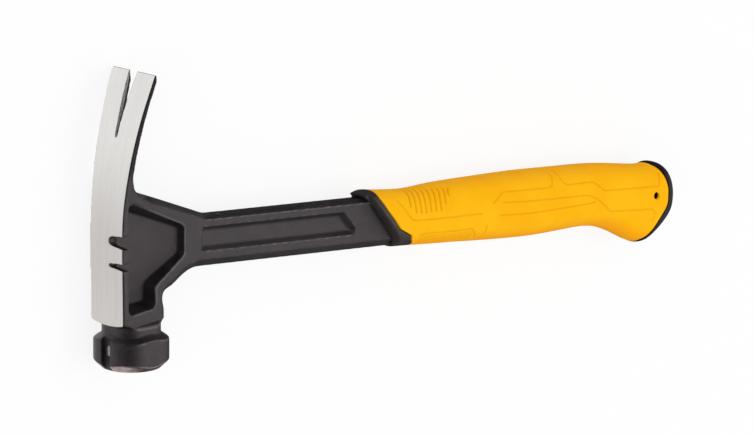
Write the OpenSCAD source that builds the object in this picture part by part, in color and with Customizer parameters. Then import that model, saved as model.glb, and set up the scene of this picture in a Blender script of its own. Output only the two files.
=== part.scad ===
// Framing hammer, forged in one piece, with a moulded two-colour grip.
// It lies on its side: +X runs from the head to the butt, +Y towards the claws,
// +Z is up, and the side with the nail-pulling notches is on top.
// The poll axis is parallel to Y. Lengths are in millimetres.

/* [Head] */
// Length of the head from the striking face to the claw tips
head_len = 145.5; // [130:0.5:160]
// Distance from the poll axis to the back of the strap
strap_off = 15.6; // [15:0.1:17]
// Width of the strap along the head
strap_w = 24; // [21:0.5:26]
// Thickness of the strap beside the pocket
strap_t = 4; // [3:0.1:5]
// How far the strap leans in at its poll end
strap_lean = 0.8; // [0:0.1:1.5]
// Radius of the rounded bottom corners of the strap
strap_corner_r = 3; // [1:0.5:4]

/* [Claws] */
// Width across both claws at the tips
claw_w = 30.4; // [27:0.2:34]
// Radius of the curve that the claws follow
claw_arc_r = 190; // [160:1:240]
// Height on the head where the claw curve begins
claw_arc_y = 64; // [58:1:70]
// Thickness of the claws at the root, on the middle line
claw_root_t = 5.4; // [4.5:0.1:6.5]
// Thickness of the claws at the tips, on the middle line
claw_tip_t = 2; // [1.5:0.1:2.8]
// Length of the chisel edge ground on the tips
claw_edge_len = 5; // [3:0.5:8]
// Length of the nail slot between the claws
slot_len = 30; // [22:0.5:36]
// Width of the nail slot at the tips
slot_w = 6.8; // [5:0.1:8]
// Width of the nail slot at its bottom
slot_end_w = 0.6; // [0.4:0.1:2]
// Radius of the fillet between the claws and the head
claw_root_r = 8.5; // [4:0.5:10]

/* [Side notches] */
// Height of the large notch on the head
notch_y = 65.6; // [63:0.2:68]
// Height of the large notch's round end
notch_end_h = 4.6; // [3.5:0.1:5.5]
// Height of the large notch's mouth
notch_mouth_h = 6.6; // [5.6:0.1:7.5]
// Height of the small notch on the head
slit_y = 53.6; // [51:0.2:56]
// Height of the small notch's end
slit_end_h = 1.8; // [1.4:0.1:2.4]
// Height of the small notch's mouth
slit_mouth_h = 3.6; // [3:0.1:4.5]
// How deep both notches reach into the strap from its side
notch_depth = 10.4; // [8:0.2:11]

/* [Poll] */
// Width of the poll across its flats
poll_w = 33; // [30:0.5:36]
// Corner radius of the poll
poll_corner_r = 12; // [9:0.5:14]
// Height of the poll's shoulder above the face
poll_len = 15.2; // [13:0.2:18]
// Radius of the crowned striking face
face_r = 14.3; // [12:0.1:15.5]
// How far the striking face is crowned
face_crown = 1; // [0.5:0.1:1.5]
// Height of the bevel round the striking face
face_bevel_h = 3.9; // [3:0.1:5]
// Width of the neck across its flats
neck_w = 25.5; // [23:0.5:28]
// Corner radius of the neck
neck_corner_r = 9; // [7:0.5:11]
// Height of the neck's foot above the face
neck_y = 17.8; // [16.5:0.1:19]

/* [Nail starter] */
// Width of the groove that holds the nail
groove_w = 6; // [5:0.1:7]
// Depth of the groove in the poll's flat
groove_d = 2.4; // [2:0.1:3]
// Diameter of the magnet
magnet_d = 5; // [4:0.1:5.4]
// Thickness of the magnet
magnet_t = 3; // [2:0.1:4]
// Height of the magnet above the face
magnet_y = 10.7; // [9:0.1:11.5]
// Gap round the magnet in its hole
magnet_gap = 0.1; // [0.05:0.05:0.2]
// Height of the slot for the nail head, along the neck
nail_slot_h = 0.9; // [0.7:0.1:1.2]

/* [Cheek] */
// Height above the face where the cheek begins
cheek_y = 22.8; // [22:0.2:25]
// Distance from the poll axis to the cheek's rear wall
cheek_rear = 15; // [13:0.2:17]
// Height of the rear wall's upper end
cheek_under_y = 36.2; // [33:0.2:39]
// Height where the cheek's top line leaves the strap
cheek_top_y = 92.4; // [88:0.2:95]
// Radius of the cheek's lower rear corner
rear_r = 5; // [2:0.5:8]
// Radius of the blends from cheek to shank
blend_r = 24; // [10:1:30]
// Height of the bevels along the cheek
head_bevel_h = 3.2; // [2:0.1:4]
// Height of the cheek's upper bevel along the claws' root
root_bevel_h = 0.5; // [0.3:0.1:1.5]
// Distance from the poll axis to where the cheek is as thin as the shank
taper_end = 38; // [34:0.5:42]
// Thickness of the web between the two pockets
web_t = 5; // [4:0.2:6]
// Distance from the edge of the cheek to the floor of its pocket
pocket_land = 10; // [8.5:0.1:11]
// Corner radius of the pocket at its rim
pocket_r = 3.6; // [2.5:0.1:4.5]
// How far the pocket's walls lean out, from its floor to the side of the strap
pocket_lean = 3.8; // [2:0.1:4.5]

/* [Shank] */
// Droop of the handle below a square line from the head
handle_angle = 4; // [2:0.5:6]
// Height of the handle's centre line on the poll axis
shank_y = 60.2; // [58:0.2:62]
// Height of the shank
shank_h = 24.3; // [22:0.1:27]
// Thickness of the shank
shank_t = 11; // [10:0.1:13]
// Height of the bevels on the claw side
top_bevel_h = 1.9; // [1:0.1:3]
// Height of the bevels on the face side
under_bevel_h = 3.7; // [2:0.1:4.5]
// Width of each bevel
bevel_w = 2.8; // [2:0.1:3.5]
// Depth of the long panel in each side
panel_d = 2.5; // [1.5:0.1:3]
// Distance from the poll axis to the start of the panel
panel_start = 40.5; // [39:0.5:44]
// Length of the panel
panel_len = 102.5; // [90:0.5:106]
// Height of the panel
panel_h = 12.2; // [10:0.1:14]
// Corner radius of the panel
panel_r = 1; // [0.5:0.1:2]
// Height of the tang inside the grip
tang_h = 15; // [12:0.5:17]
// Thickness of the tang
tang_t = 8; // [6:0.5:9]
// Distance from the end of the tang to the end of the grip
tang_back = 40.3; // [32:0.1:70]

/* [Grip] */
// Distance along the handle from the poll axis to the front of the collar
grip_start = 140; // [136:1:144]
// Length of the collar and grip together
grip_len = 225.3; // [215:0.1:235]
// Height of the grip's outline
grip_h = 33; // [30:0.5:36]
// Thickness of the grip
grip_t = 28.6; // [26:0.2:30]
// Width of the slanted collar, along the handle
collar_w = 5.4; // [4.5:0.1:7]
// Height of the moulded core inside the grip
core_h = 20; // [18.5:0.5:22]
// Thickness of the moulded core inside the grip
core_t = 14; // [12:0.5:17]
// How far the butt cap reaches round the end of the grip
cap_w = 8; // [6:0.2:10]
// Distance from the start of the grip to the first thumb groove
rib_start = 35.1; // [33:0.1:38]
// Distance from one thumb groove to the next
rib_step = 3.3; // [2.8:0.1:3.6]
// Width of each thumb groove
rib_w = 1; // [0.6:0.1:1.4]
// Depth of each thumb groove
rib_d = 0.6; // [0.3:0.1:0.9]
// Distance from the end of the grip to the hanging hole
hole_from_end = 16; // [14:0.5:18]
// Diameter of the hanging hole
hole_d = 3.6; // [3:0.1:5]

/* [Hidden] */
// Steps in each rounded corner, sides of each section of the grip, and sections between two given ones
steps = 8;
ring_sides = 28;
ring_steps = 2;
// Overrun of every cut past the face that it opens
over = 1;
// Half of the part's greatest thickness, which puts its lowest face at zero
half_z = poll_w / 2;
// Share of their thickness over the tips' that the claws lose at their sides, and what stays whole
side_drop_share = 0.77;
side_keep_share = 0.9;
// Where the cheek's upper edge starts: in from the claw's inner face, and down from its top
root_in_share = 0.95;
root_low_share = 0.25;
// Where the cheek's lower and upper edges meet the shank, and where the shank's own shape begins
under_join_share = 1.42;
top_join_share = 1.9;
own_shape_share = 0.4;
// How far the pocket's top lies below the cheek's top
pocket_top_share = 1.15;
// Radii of the pocket's inner and upper corners against its rim's
inner_corner_share = 0.8;
upper_corner_share = 0.5;
// Rise over run of the turned underside of the head
skirt_share = 0.35;
// How far the underside's cone and the poll's shoulder reach into the neck
skirt_in_share = 0.95;
neck_in_share = 0.9;
// Slope of the collar, and its place behind the start of the grip
collar_slope_share = 0.893;
collar_place_share = 0.618;
// Height of the collar's foot on the shank, and of its rounded back
collar_foot_share = 0.07;
collar_top_share = 0.43;
// The collar's lip over the top of the shank: its front, its top and its lower end
lip_front_share = 0.15;
lip_top_share = 0.56;
lip_low_share = 0.333;
// How far down the collar's front edge slants
front_low_share = 0.4;
// Where the collar's rear edge bends below its top, and how much farther back its top lies
rear_bend_share = 0.21;
rear_top_share = 0.41;
rear_step_share = 0.057;
// Size and places of the holes in the tang
tang_hole_share = 0.4;
tang_hole_shares = [0.3, 0.85];
tang_corner_share = 0.25;
// Slanted end of the long panel, and lean of its walls
panel_slant_share = 0.68;
panel_lean_share = 0.9;
// The collar's nose: where it leaves the slanted edge, its height, its step behind that edge, its
// corner, and how far down the collar reaches
nose_from_share = 0.1;
nose_y_share = 0.233;
nose_step_share = 0.16;
nose_r_share = 0.045;
collar_low_share = 0.55;
// Heights of the lower ends of the thumb grooves, and of their common upper end
rib_low_shares = [0.23, 0.14, 0.127, 0.124, 0.13, 0.13, 0.13, 0.23, 0.345];
rib_high_share = 0.43;
// Where the thumb grooves bend, and how far their upper ends lie farther back
rib_bend_share = 0.26;
rib_lean_share = 0.05;
// Where the grip starts to be drawn in for the butt cap, and where the cap's upper and lower edges begin
cap_from_share = 0.89;
cap_top_share = 0.942;
cap_low_share = 0.905;
// How much the cap reaches farther round the lower end than round the upper
cap_lift_share = 0.94;

// Points of an arc that rounds the corner b between a and c
function unit(v) = v / norm(v);
function corner(a, b, c, r) =
    let (p = unit(a - b), q = unit(c - b),
         half = acos(max(-1, min(1, p * q))) / 2,
         t = r / tan(half),
         m = b + unit(p + q) * (r / sin(half)),
         s = b + p * t - m, e = b + q * t - m,
         turn = 180 - 2 * half,
         way = (s[0] * e[1] - s[1] * e[0]) > 0 ? 1 : -1)
    r <= 0 ? [b] : [for (i = [0 : steps]) let (k = way * turn * i / steps)
        m + [s[0] * cos(k) - s[1] * sin(k), s[0] * sin(k) + s[1] * cos(k)]];
// A closed outline with each corner rounded by its own radius
function rounded(pts, radii) = [for (i = [0 : len(pts) - 1])
    each corner(pts[(i + len(pts) - 1) % len(pts)], pts[i], pts[(i + 1) % len(pts)], radii[i])];

// A point given along and across the handle, in the head's own plane
function on_handle(along, across) =
    [along * cos(handle_angle) + across * sin(handle_angle),
     shank_y - along * sin(handle_angle) + across * cos(handle_angle)];

module along_handle() {
    translate([0, shank_y, 0]) rotate([0, 0, -handle_angle]) children();
}

// A rectangle with round corners, centred
module soft_rectangle(w, h, r) {
    square([w - 2 * r, h], center = true);
    square([w, h - 2 * r], center = true);
    for (x = [-1, 1], y = [-1, 1]) translate([x * (w / 2 - r), y * (h / 2 - r)]) circle(r = r, $fn = 96);
}

// A solid between two outlines with equally many points, at two heights
module drafted(low, z_low, high, z_high) {
    n = len(low);
    pts = concat([for (p = low) [p[0], p[1], z_low]], [for (p = high) [p[0], p[1], z_high]]);
    sides = [for (i = [0 : n - 1]) let (j = (i + 1) % n)
        each [[i, i + n, j], [j, i + n, j + n]]];
    polyhedron(pts, concat([[for (i = [0 : n - 1]) i]],
        [[for (i = [n - 1 : -1 : 0]) i + n]], sides));
}
module both_sides() {
    children();
    mirror([0, 0, 1]) children();
}

// Curves of the claws: the back is an arc, the inner face the same arc moved inwards
arc_x = claw_arc_r - strap_off;
root_angle = asin((cheek_top_y - claw_arc_y) / claw_arc_r);
tip_angle = asin((head_len - claw_arc_y) / claw_arc_r);
shift_x = (claw_root_t * sin(tip_angle) - claw_tip_t * sin(root_angle)) / sin(tip_angle - root_angle);
shift_y = (claw_root_t * cos(tip_angle) - claw_tip_t * cos(root_angle)) / sin(tip_angle - root_angle);
inner_y = claw_arc_y + shift_y;
function back_x(y) = arc_x - sqrt(claw_arc_r * claw_arc_r - pow(max(0, y - claw_arc_y), 2));
function inner_x(y) = arc_x + shift_x - sqrt(claw_arc_r * claw_arc_r - pow(y - inner_y, 2));
// Height on the head where the claws start to flare
flare_y = cheek_top_y - strap_w / 2;
flare_end_y = head_len - claw_w / 4;
// How much thinner than in the middle the claws are at a distance w from the middle plane
function drop_at(y, w) =
    (inner_x(y) - back_x(y) - claw_tip_t * side_keep_share) * side_drop_share
    * (2 * w - slot_w) / (claw_w - slot_w);
// The same where the claws' sides run down into the sides of the strap
function strap_drop_at(y, w) =
    (inner_x(y) + strap_off - strap_t) * (2 * w - slot_w) / (strap_w - slot_w);
function root_drop_at(y, w) =
    let (k = max(0, min(1, (cheek_top_y - y) / claw_root_r)))
    drop_at(y, w) * (1 - k) + strap_drop_at(y, w) * k;

// Everything behind the curved back of strap and claws
module behind_back() {
    reach = head_len / 2;
    intersection() {
        translate([arc_x, claw_arc_y, 0]) cylinder(h = 2 * claw_w, r = claw_arc_r, center = true, $fn = 360);
        translate([-strap_w, claw_arc_y, -claw_w]) cube([strap_w + reach, head_len, 2 * claw_w]);
    }
    translate([0, 0, -claw_w]) linear_extrude(2 * claw_w)
        polygon([[-strap_off + strap_lean, 0], [reach, 0], [reach, claw_arc_y], [-strap_off, claw_arc_y]]);
}

// Outline of strap and claws seen from the back
module strap_outline() {
    hs = strap_w / 2;
    hc = claw_w / 2;
    tip_r = claw_tip_t / 2;
    pts = [[-hs, cheek_y], [hs, cheek_y], [hs, flare_y], [hc, flare_end_y], [hc, head_len],
        [-hc, head_len], [-hc, flare_end_y], [-hs, flare_y]];
    radii = [strap_corner_r, strap_corner_r, claw_arc_r, claw_arc_r / 2,
        tip_r, tip_r, claw_arc_r / 2, claw_arc_r];
    polygon(rounded([for (p = pts) [p[1], p[0]]], radii));
}
// Turns an outline drawn as height along the head and width into a bar along X
module across_head(x_from, x_to) {
    translate([x_from, 0, 0]) rotate([90, 0, 90]) linear_extrude(x_to - x_from) children();
}

// What is cut away inside the claws, with a shallow roof so that they thin out to their sides
module claw_inner_cut() {
    w = claw_w / 2 + over;
    count = 2 * steps;
    low = cheek_top_y - 2 * claw_root_r;
    high = head_len + claw_tip_t;
    far = inner_x(high) + claw_w;
    flat = slot_w / 2;
    pts = [for (i = [0 : count])
        let (y = low + (high - low) * i / count, x = inner_x(y), d = root_drop_at(y, w))
        each [[far, y, -w], [x - d, y, -w], [x, y, -flat], [x, y, flat], [x - d, y, w], [far, y, w]]];
    n = 6;
    last = n * count;
    sides = [for (i = [0 : count - 1], k = [0 : n - 1])
        let (p = n * i + k, q = n * i + (k + 1) % n)
        each [[p, q + n, q], [p, p + n, q + n]]];
    polyhedron(pts, concat([[for (k = [0 : n - 1]) k], [for (k = [n - 1 : -1 : 0]) last + k]], sides));
}
module nail_slot() {
    hs = slot_w / 2;
    he = slot_end_w / 2;
    bottom = head_len - slot_len + he;
    across_head(-strap_w, claw_w) {
        polygon([[bottom, -he], [head_len + over, -hs], [head_len + over, hs], [bottom, he]]);
        translate([bottom, 0]) circle(d = slot_end_w, $fn = 32);
    }
}
module chisel_cut() {
    y1 = head_len - claw_edge_len;
    lip = claw_tip_t / 4;
    translate([0, 0, -claw_w]) linear_extrude(2 * claw_w)
        polygon([[inner_x(y1), y1], [back_x(head_len) + lip, head_len + lip / 2],
            [inner_x(head_len) + claw_w, head_len + lip / 2], [inner_x(y1) + claw_w, y1]]);
}
module strap_and_claws() {
    split_y = cheek_top_y - claw_root_r;
    reach = inner_x(head_len) + claw_root_t;
    difference() {
        intersection() {
            behind_back();
            across_head(-strap_w, reach) strap_outline();
            union() {
                translate([-strap_w, 0, -claw_w]) cube([strap_w - strap_off + strap_t, split_y, 2 * claw_w]);
                translate([-strap_w, split_y, -claw_w]) cube([strap_w + claw_w, head_len, 2 * claw_w]);
            }
        }
        intersection() {
            claw_inner_cut();
            translate([-strap_w, split_y, -claw_w]) cube([claw_w * 4, head_len, 2 * claw_w]);
        }
        chisel_cut();
        nail_slot();
    }
}

// Cheek between strap, poll and shank
under_join = shank_h * under_join_share;
top_join = shank_h * top_join_share;
shank_join = top_join + shank_h * own_shape_share;
function root_x(y) = inner_x(y) - drop_at(y, strap_w / 2) * root_in_share;
root_point = [root_x(cheek_top_y), cheek_top_y - claw_root_t * root_low_share];
root_up = cheek_top_y + claw_root_r;
root_top = [root_x(root_up), root_up];
under_a = [cheek_rear, cheek_under_y];
under_b = on_handle(under_join, -shank_h / 2);
top_a = on_handle(top_join, shank_h / 2);
taper_slope = (strap_w - shank_t) / 2 / (taper_end + strap_off - strap_t);
function half_at(x) = max(shank_t / 2, min(strap_w / 2,
    strap_w / 2 - taper_slope * (x + strap_off - strap_t)));

module cheek_side() {
    inside = -strap_off + strap_t / 2;
    polygon(rounded([[inside, cheek_y], [cheek_rear, cheek_y], under_a, under_b,
        on_handle(shank_join, -shank_h / 2), on_handle(shank_join, shank_h / 2), top_a,
        root_point, root_top, [(root_top[0] + back_x(root_up)) / 2, root_up], [inside, cheek_top_y]],
        [0, 0, rear_r, blend_r, 0, 0, blend_r, claw_root_r, 0, 0, 0]));
}
module cheek_plan() {
    x0 = -strap_off;
    x1 = x0 + strap_t;
    far = taper_end + shank_h;
    polygon([[x0 - over, -strap_w / 2], [x1, -strap_w / 2], [taper_end, -shank_t / 2], [far, -shank_t / 2],
        [far, shank_t / 2], [taper_end, shank_t / 2], [x1, strap_w / 2], [x0 - over, strap_w / 2]]);
}
// One section of a bevel's cutter, across an edge at the point p: m points outwards, mitred
function bevel_section(p, m, depth) =
    let (h = half_at(p[0]), o = p + m * over, d = p - m * depth, drop = bevel_w * (1 + over / depth))
    [[o[0], o[1], h - drop], [d[0], d[1], h], [d[0], d[1], strap_w], [o[0], o[1], strap_w]];
// Cutter for a bevel along an open line of points, each with its own depth
module edge_bevel(line, depths) {
    n = len(line);
    dirs = [for (i = [0 : n - 2]) unit(line[i + 1] - line[i])];
    mitres = [for (i = [0 : n - 1])
        let (u = dirs[max(0, i - 1)], v = dirs[min(n - 2, i)], t = unit(u + v))
        [-t[1], t[0]] / (t * u)];
    pts = [for (i = [0 : n - 1]) each bevel_section(line[i], mitres[i], depths[i])];
    sides = [for (i = [0 : n - 2], k = [0 : 3])
        let (a = 4 * i + k, b = 4 * i + (k + 1) % 4)
        each [[a, b, b + 4], [a, b + 4, a + 4]]];
    last = 4 * (n - 1);
    ends = [[0, 2, 1], [0, 3, 2], [last, last + 1, last + 2], [last, last + 2, last + 3]];
    polyhedron(pts, concat(ends, sides));
}
// The same value once for every point that a rounded corner gets
function for_corner(value, r) = r <= 0 ? [value] : [for (i = [0 : steps]) value];
// The point of a line through p and q at a given x
function at_x(p, q, x) = p + (q - p) * ((x - p[0]) / (q[0] - p[0]));
// Bevel cutter along the cheek's upper edge, from the claw's root to the shank
module upper_bevel() {
    end = on_handle(shank_join + over, shank_h / 2);
    mid = at_x(root_point, top_a, taper_end);
    above = root_top + unit(root_top - root_point) * over;
    full = at_x(root_point, mid, root_point[0] + 2 * claw_root_r);
    edge_bevel(concat([above], corner(root_top, root_point, mid, claw_root_r), [full],
        corner(mid, top_a, end, blend_r), [end]),
        concat([root_bevel_h], for_corner(root_bevel_h, claw_root_r), [head_bevel_h],
        for_corner(head_bevel_h, blend_r), [top_bevel_h]));
}
// Bevel cutter along the cheek's lower edge, from the shank to the poll
module lower_bevel() {
    start = on_handle(shank_join + over, -shank_h / 2);
    end = [cheek_rear, cheek_y - over];
    edge_bevel(concat([start], corner(start, under_b, under_a, blend_r),
        corner(under_b, under_a, end, rear_r), [end]),
        concat([under_bevel_h], for_corner(under_bevel_h, blend_r),
        for_corner(head_bevel_h, rear_r), [head_bevel_h]));
}
module cheek() {
    difference() {
        intersection() {
            translate([0, 0, -strap_w]) linear_extrude(2 * strap_w) cheek_side();
            rotate([-90, 0, 0]) linear_extrude(head_len) cheek_plan();
            behind_back();
        }
        both_sides() {
            upper_bevel();
            lower_bevel();
        }
    }
}

// Where a line through p along u meets a line through q along v
function cross2(u, v) = u[0] * v[1] - u[1] * v[0];
function meet(p, u, q, v) = p + u * cross2(q - p, v) / cross2(u, v);
pocket_end = taper_end - shank_t;
pocket_top_y = cheek_top_y - shank_t * pocket_top_share;
// The pocket's outline at a height z above the middle plane
function pocket(z) =
    let (lean = pocket_lean * (z - web_t / 2) / (strap_w / 2 - web_t / 2),
         land = pocket_land - lean,
         left = -strap_off + strap_t,
         right = pocket_end + lean,
         rear = cheek_rear - land,
         low = cheek_y + land,
         top_u = unit(top_a - root_point),
         top_p = root_point + [top_u[1], -top_u[0]] * land,
         under_u = unit(under_b - under_a),
         under_p = under_a + [-under_u[1], under_u[0]] * land,
         high = pocket_top_y + lean,
         down = [0, 1], side = [1, 0])
    rounded([[left, low], [rear, low], meet([rear, low], down, under_p, under_u),
        meet([right, low], down, under_p, under_u), meet([right, low], down, top_p, top_u),
        meet([left, high], side, top_p, top_u), [left, high]],
        [pocket_r, pocket_r * inner_corner_share, pocket_r, pocket_r, pocket_r, pocket_r,
        pocket_r * upper_corner_share]);
module pocket_cut() {
    z0 = web_t / 2;
    z1 = strap_w / 2 + over;
    both_sides() drafted(pocket(z0), z0, pocket(z1), z1);
}

// Notches for pulling nails sideways, through the strap on the upper side only
module side_notch(y, end_h, mouth_h) {
    back = strap_w / 2 - notch_depth;
    he = end_h / 2;
    hm = mouth_h / 2;
    mouth = strap_w / 2 + over;
    across_head(-strap_off - strap_t, -strap_off + strap_t + magnet_gap) {
        translate([y, back + he]) circle(d = end_h, $fn = 48);
        polygon([[y - he, back + he], [y + he, back + he], [y + hm, mouth], [y - hm, mouth]]);
    }
}

// Poll, face and neck
poll_reach = poll_w / sqrt(2) - poll_corner_r * (sqrt(2) - 1);
neck_reach = neck_w / sqrt(2) - neck_corner_r * (sqrt(2) - 1);
crown_r = (face_r * face_r + face_crown * face_crown) / (2 * face_crown);
// Turned shape of crown, face bevel and shoulder, cut into the square bar. The shoulder runs on into the neck
widen = (poll_reach - face_r) / face_bevel_h;
shoulder_slope = (neck_y - poll_len) / (poll_reach - neck_reach);
neck_in = neck_w / 2 * neck_in_share;
neck_top = neck_y + (neck_reach - neck_in) * shoulder_slope;
module turned_poll() {
    wide = poll_reach + over;
    intersection() {
        rotate([-90, 0, 0]) rotate_extrude($fn = 96)
            polygon([[0, -over], [face_r - (face_crown + over) * widen, -over],
                [wide, face_crown + face_bevel_h + over / widen], [wide, poll_len - over * shoulder_slope],
                [neck_in, neck_top], [0, neck_top]]);
        translate([0, crown_r, 0]) sphere(r = crown_r, $fn = 180);
    }
}
module poll() {
    intersection() {
        translate([0, -over, 0]) rotate([-90, 0, 0]) linear_extrude(neck_top + 2 * over)
            soft_rectangle(poll_w, poll_w, poll_corner_r);
        turned_poll();
    }
    translate([0, poll_len, 0]) rotate([-90, 0, 0]) linear_extrude(cheek_y - poll_len + pocket_r)
        soft_rectangle(neck_w, neck_w, neck_corner_r);
}
// Cone that rounds off the underside of strap and cheek
module head_skirt() {
    r = neck_reach * skirt_in_share;
    translate([0, cheek_y - over * skirt_share, 0]) rotate([-90, 0, 0])
        cylinder(h = head_len, r1 = r - over, r2 = r - over + head_len / skirt_share, $fn = 96);
}
module starter_cuts() {
    x = -poll_w / 2;
    translate([x - over, -over, -groove_w / 2]) cube([groove_d + over, neck_y + 2 * over, groove_w]);
    translate([x + groove_d - over, magnet_y, 0]) rotate([0, 90, 0])
        cylinder(h = magnet_t + over, d = magnet_d + 2 * magnet_gap, $fn = 64);
    translate([-neck_w / 2 - over, neck_y + groove_d, -groove_w / 2])
        cube([over + nail_slot_h, nail_slot_h, groove_w]);
}

// Shank and tang
module shank_section(h, t) {
    hh = h / 2;
    ht = t / 2;
    polygon([[-hh, -ht + bevel_w], [-hh + under_bevel_h, -ht], [hh - top_bevel_h, -ht], [hh, -ht + bevel_w],
        [hh, ht - bevel_w], [hh - top_bevel_h, ht], [-hh + under_bevel_h, ht], [-hh, ht - bevel_w]]);
}
// The collar's slanted edges along the handle, at a height y off the handle's centre line
collar_at = grip_start + grip_h * collar_place_share;
function front_at(y) = collar_at - y * collar_slope_share;
function rear_at(y) = collar_at + collar_w - y * collar_slope_share;
function seat_at(y) = collar_at + collar_w / 2 - y * collar_slope_share;
shank_from = taper_end - shank_t / 2;
tang_from = collar_at - collar_w;
tang_len = grip_start + grip_len - tang_back - tang_from;
module bar(from, to) {
    translate([from, 0, 0]) rotate([90, 0, 90]) linear_extrude(to - from) children();
}
module slab() {
    translate([0, 0, -grip_t]) linear_extrude(2 * grip_t) children();
}
module shank_and_tang() {
    tang_r = tang_t * tang_corner_share;
    hh = shank_h / 2 + over;
    along_handle() {
        intersection() {
            bar(shank_from, grip_start + grip_len) shank_section(shank_h, shank_t);
            slab() polygon([[0, hh], [seat_at(hh), hh], [seat_at(-hh), -hh], [0, -hh]]);
        }
        bar(tang_from, tang_from + tang_len) soft_rectangle(tang_h, tang_t, tang_r);
    }
}
module tang_holes() {
    d = tang_h * tang_hole_share;
    along_handle() for (k = tang_hole_shares)
        translate([tang_from + tang_len * k, 0, 0]) cylinder(h = 2 * tang_t, d = d, center = true, $fn = 48);
}
function panel(lean) =
    let (mid = (under_bevel_h - top_bevel_h) / 2, h = panel_h / 2 - lean,
         a = panel_start + lean, b = panel_start + panel_len - lean, slant = panel_h * panel_slant_share)
    rounded([[a, mid - h], [b - panel_r, mid - h], [b, mid - h + panel_r], [b, mid + h - slant],
        [b - slant, mid + h], [a, mid + h]], [panel_r, 0, 0, panel_r, 2 * panel_r, panel_r]);
module panel_cuts() {
    z0 = shank_t / 2 - panel_d;
    z1 = shank_t / 2 + over;
    lean = panel_d * panel_lean_share;
    along_handle() both_sides() drafted(panel(lean), z0, panel(-lean * over / panel_d), z1);
}

module steel() {
    difference() {
        union() {
            intersection() {
                union() {
                    strap_and_claws();
                    cheek();
                }
                head_skirt();
            }
            poll();
            shank_and_tang();
        }
        pocket_cut();
        side_notch(notch_y, notch_end_h, notch_mouth_h);
        side_notch(slit_y, slit_end_h, slit_mouth_h);
        starter_cuts();
        tang_holes();
        panel_cuts();
    }
}

// Grip. Its form is a row of rounded sections, set out in shares of its length, height and thickness:
// place along the grip, top edge, bottom edge, half thickness
grip_shares = [
    [0, 0.388, -0.351, 0.33],
    [0.027, 0.458, -0.367, 0.37],
    [0.055, 0.489, -0.377, 0.4],
    [0.085, 0.467, -0.388, 0.415],
    [0.125, 0.451, -0.412, 0.42],
    [0.17, 0.435, -0.421, 0.427],
    [0.214, 0.447, -0.428, 0.441],
    [0.26, 0.479, -0.438, 0.456],
    [0.32, 0.498, -0.446, 0.472],
    [0.385, 0.513, -0.462, 0.487],
    [0.51, 0.539, -0.482, 0.5],
    [0.58, 0.54, -0.476, 0.5],
    [0.65, 0.538, -0.45, 0.49],
    [0.71, 0.539, -0.426, 0.47],
    [0.757, 0.534, -0.435, 0.455],
    [0.8, 0.518, -0.49, 0.45],
    [0.845, 0.491, -0.593, 0.455],
    [0.88, 0.467, -0.7, 0.464],
    [0.908, 0.45, -0.773, 0.476],
    [0.93, 0.447, -0.76, 0.48],
    [0.95, 0.458, -0.67, 0.488],
    [0.965, 0.463, -0.572, 0.494],
    [0.98, 0.414, -0.486, 0.452],
    [0.99, 0.315, -0.431, 0.405],
    [0.997, 0.197, -0.382, 0.35],
    [1, 0.103, -0.329, 0.3]];
section_power = 2.4;
grip_last = len(grip_shares) - 1;
function spline(a, b, c, d, t) =
    0.5 * ((2 * b) + (c - a) * t + (2 * a - 5 * b + 4 * c - d) * t * t + (3 * b - a - 3 * c + d) * t * t * t);
function grip_at(u) =
    let (i = min(grip_last - 1, floor(u)), t = u - i,
         a = grip_shares[max(0, i - 1)], b = grip_shares[i],
         c = grip_shares[i + 1], d = grip_shares[min(grip_last, i + 2)],
         s = spline(a, b, c, d, t))
    [grip_start + grip_len * min(1, s[0]), grip_h * s[1], grip_h * s[2], grip_t * s[3]];
grip_rows = [for (k = [0 : grip_last * ring_steps]) grip_at(k / ring_steps)];
function pull(v) = sign(v) * pow(abs(v), 2 / section_power);
// The grip's form, or one that lies inside it by an inset
module grip_form(inset = 0) {
    n = ring_sides;
    rows = len(grip_rows);
    pts = [for (g = grip_rows) for (i = [0 : n - 1]) let (a = 360 * i / n)
        [g[0], (g[1] + g[2]) / 2 + ((g[1] - g[2]) / 2 - inset) * pull(cos(a)),
            (g[3] - inset) * pull(sin(a))]];
    skin = [for (k = [0 : rows - 2], i = [0 : n - 1]) let (j = (i + 1) % n, p = k * n, q = (k + 1) * n)
        each [[p + i, q + i, p + j], [p + j, q + i, q + j]]];
    front = [for (i = [0 : n - 1]) i];
    back = [for (i = [n - 1 : -1 : 0]) (rows - 1) * n + i];
    polyhedron(pts, concat([front, back], skin));
}

// The collar's rear edge, from its top down to the nose at its lower corner
rear_top = grip_h * rear_top_share;
rear_top_x = rear_at(rear_top) + grip_h * rear_step_share;
rear_bend = grip_h * rear_bend_share;
nose_from = [rear_at(-grip_h * nose_from_share), -grip_h * nose_from_share];
nose_y = -grip_h * nose_y_share;
nose_x = rear_at(nose_y) + grip_h * nose_step_share;
collar_low = -grip_h * collar_low_share;
rear_edge = concat([[rear_top_x, grip_h], [rear_top_x, rear_top], [rear_at(rear_bend), rear_bend], nose_from],
    corner(nose_from, [nose_x, nose_y], [nose_x, collar_low], grip_h * nose_r_share),
    [[nose_x, collar_low]]);
// The collar's front edge, from below up to its lip over the top of the shank
lip_x = grip_start + grip_h * lip_front_share;
lip_low = shank_h * lip_low_share;
front_low = -shank_h * front_low_share;
front_edge = [[front_at(front_low), collar_low], [front_at(front_low), front_low],
    [front_at(lip_low), lip_low], [lip_x, shank_h * lip_top_share], [lip_x, grip_h]];
module collar_side() {
    polygon(concat(rear_edge, front_edge));
}
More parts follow.
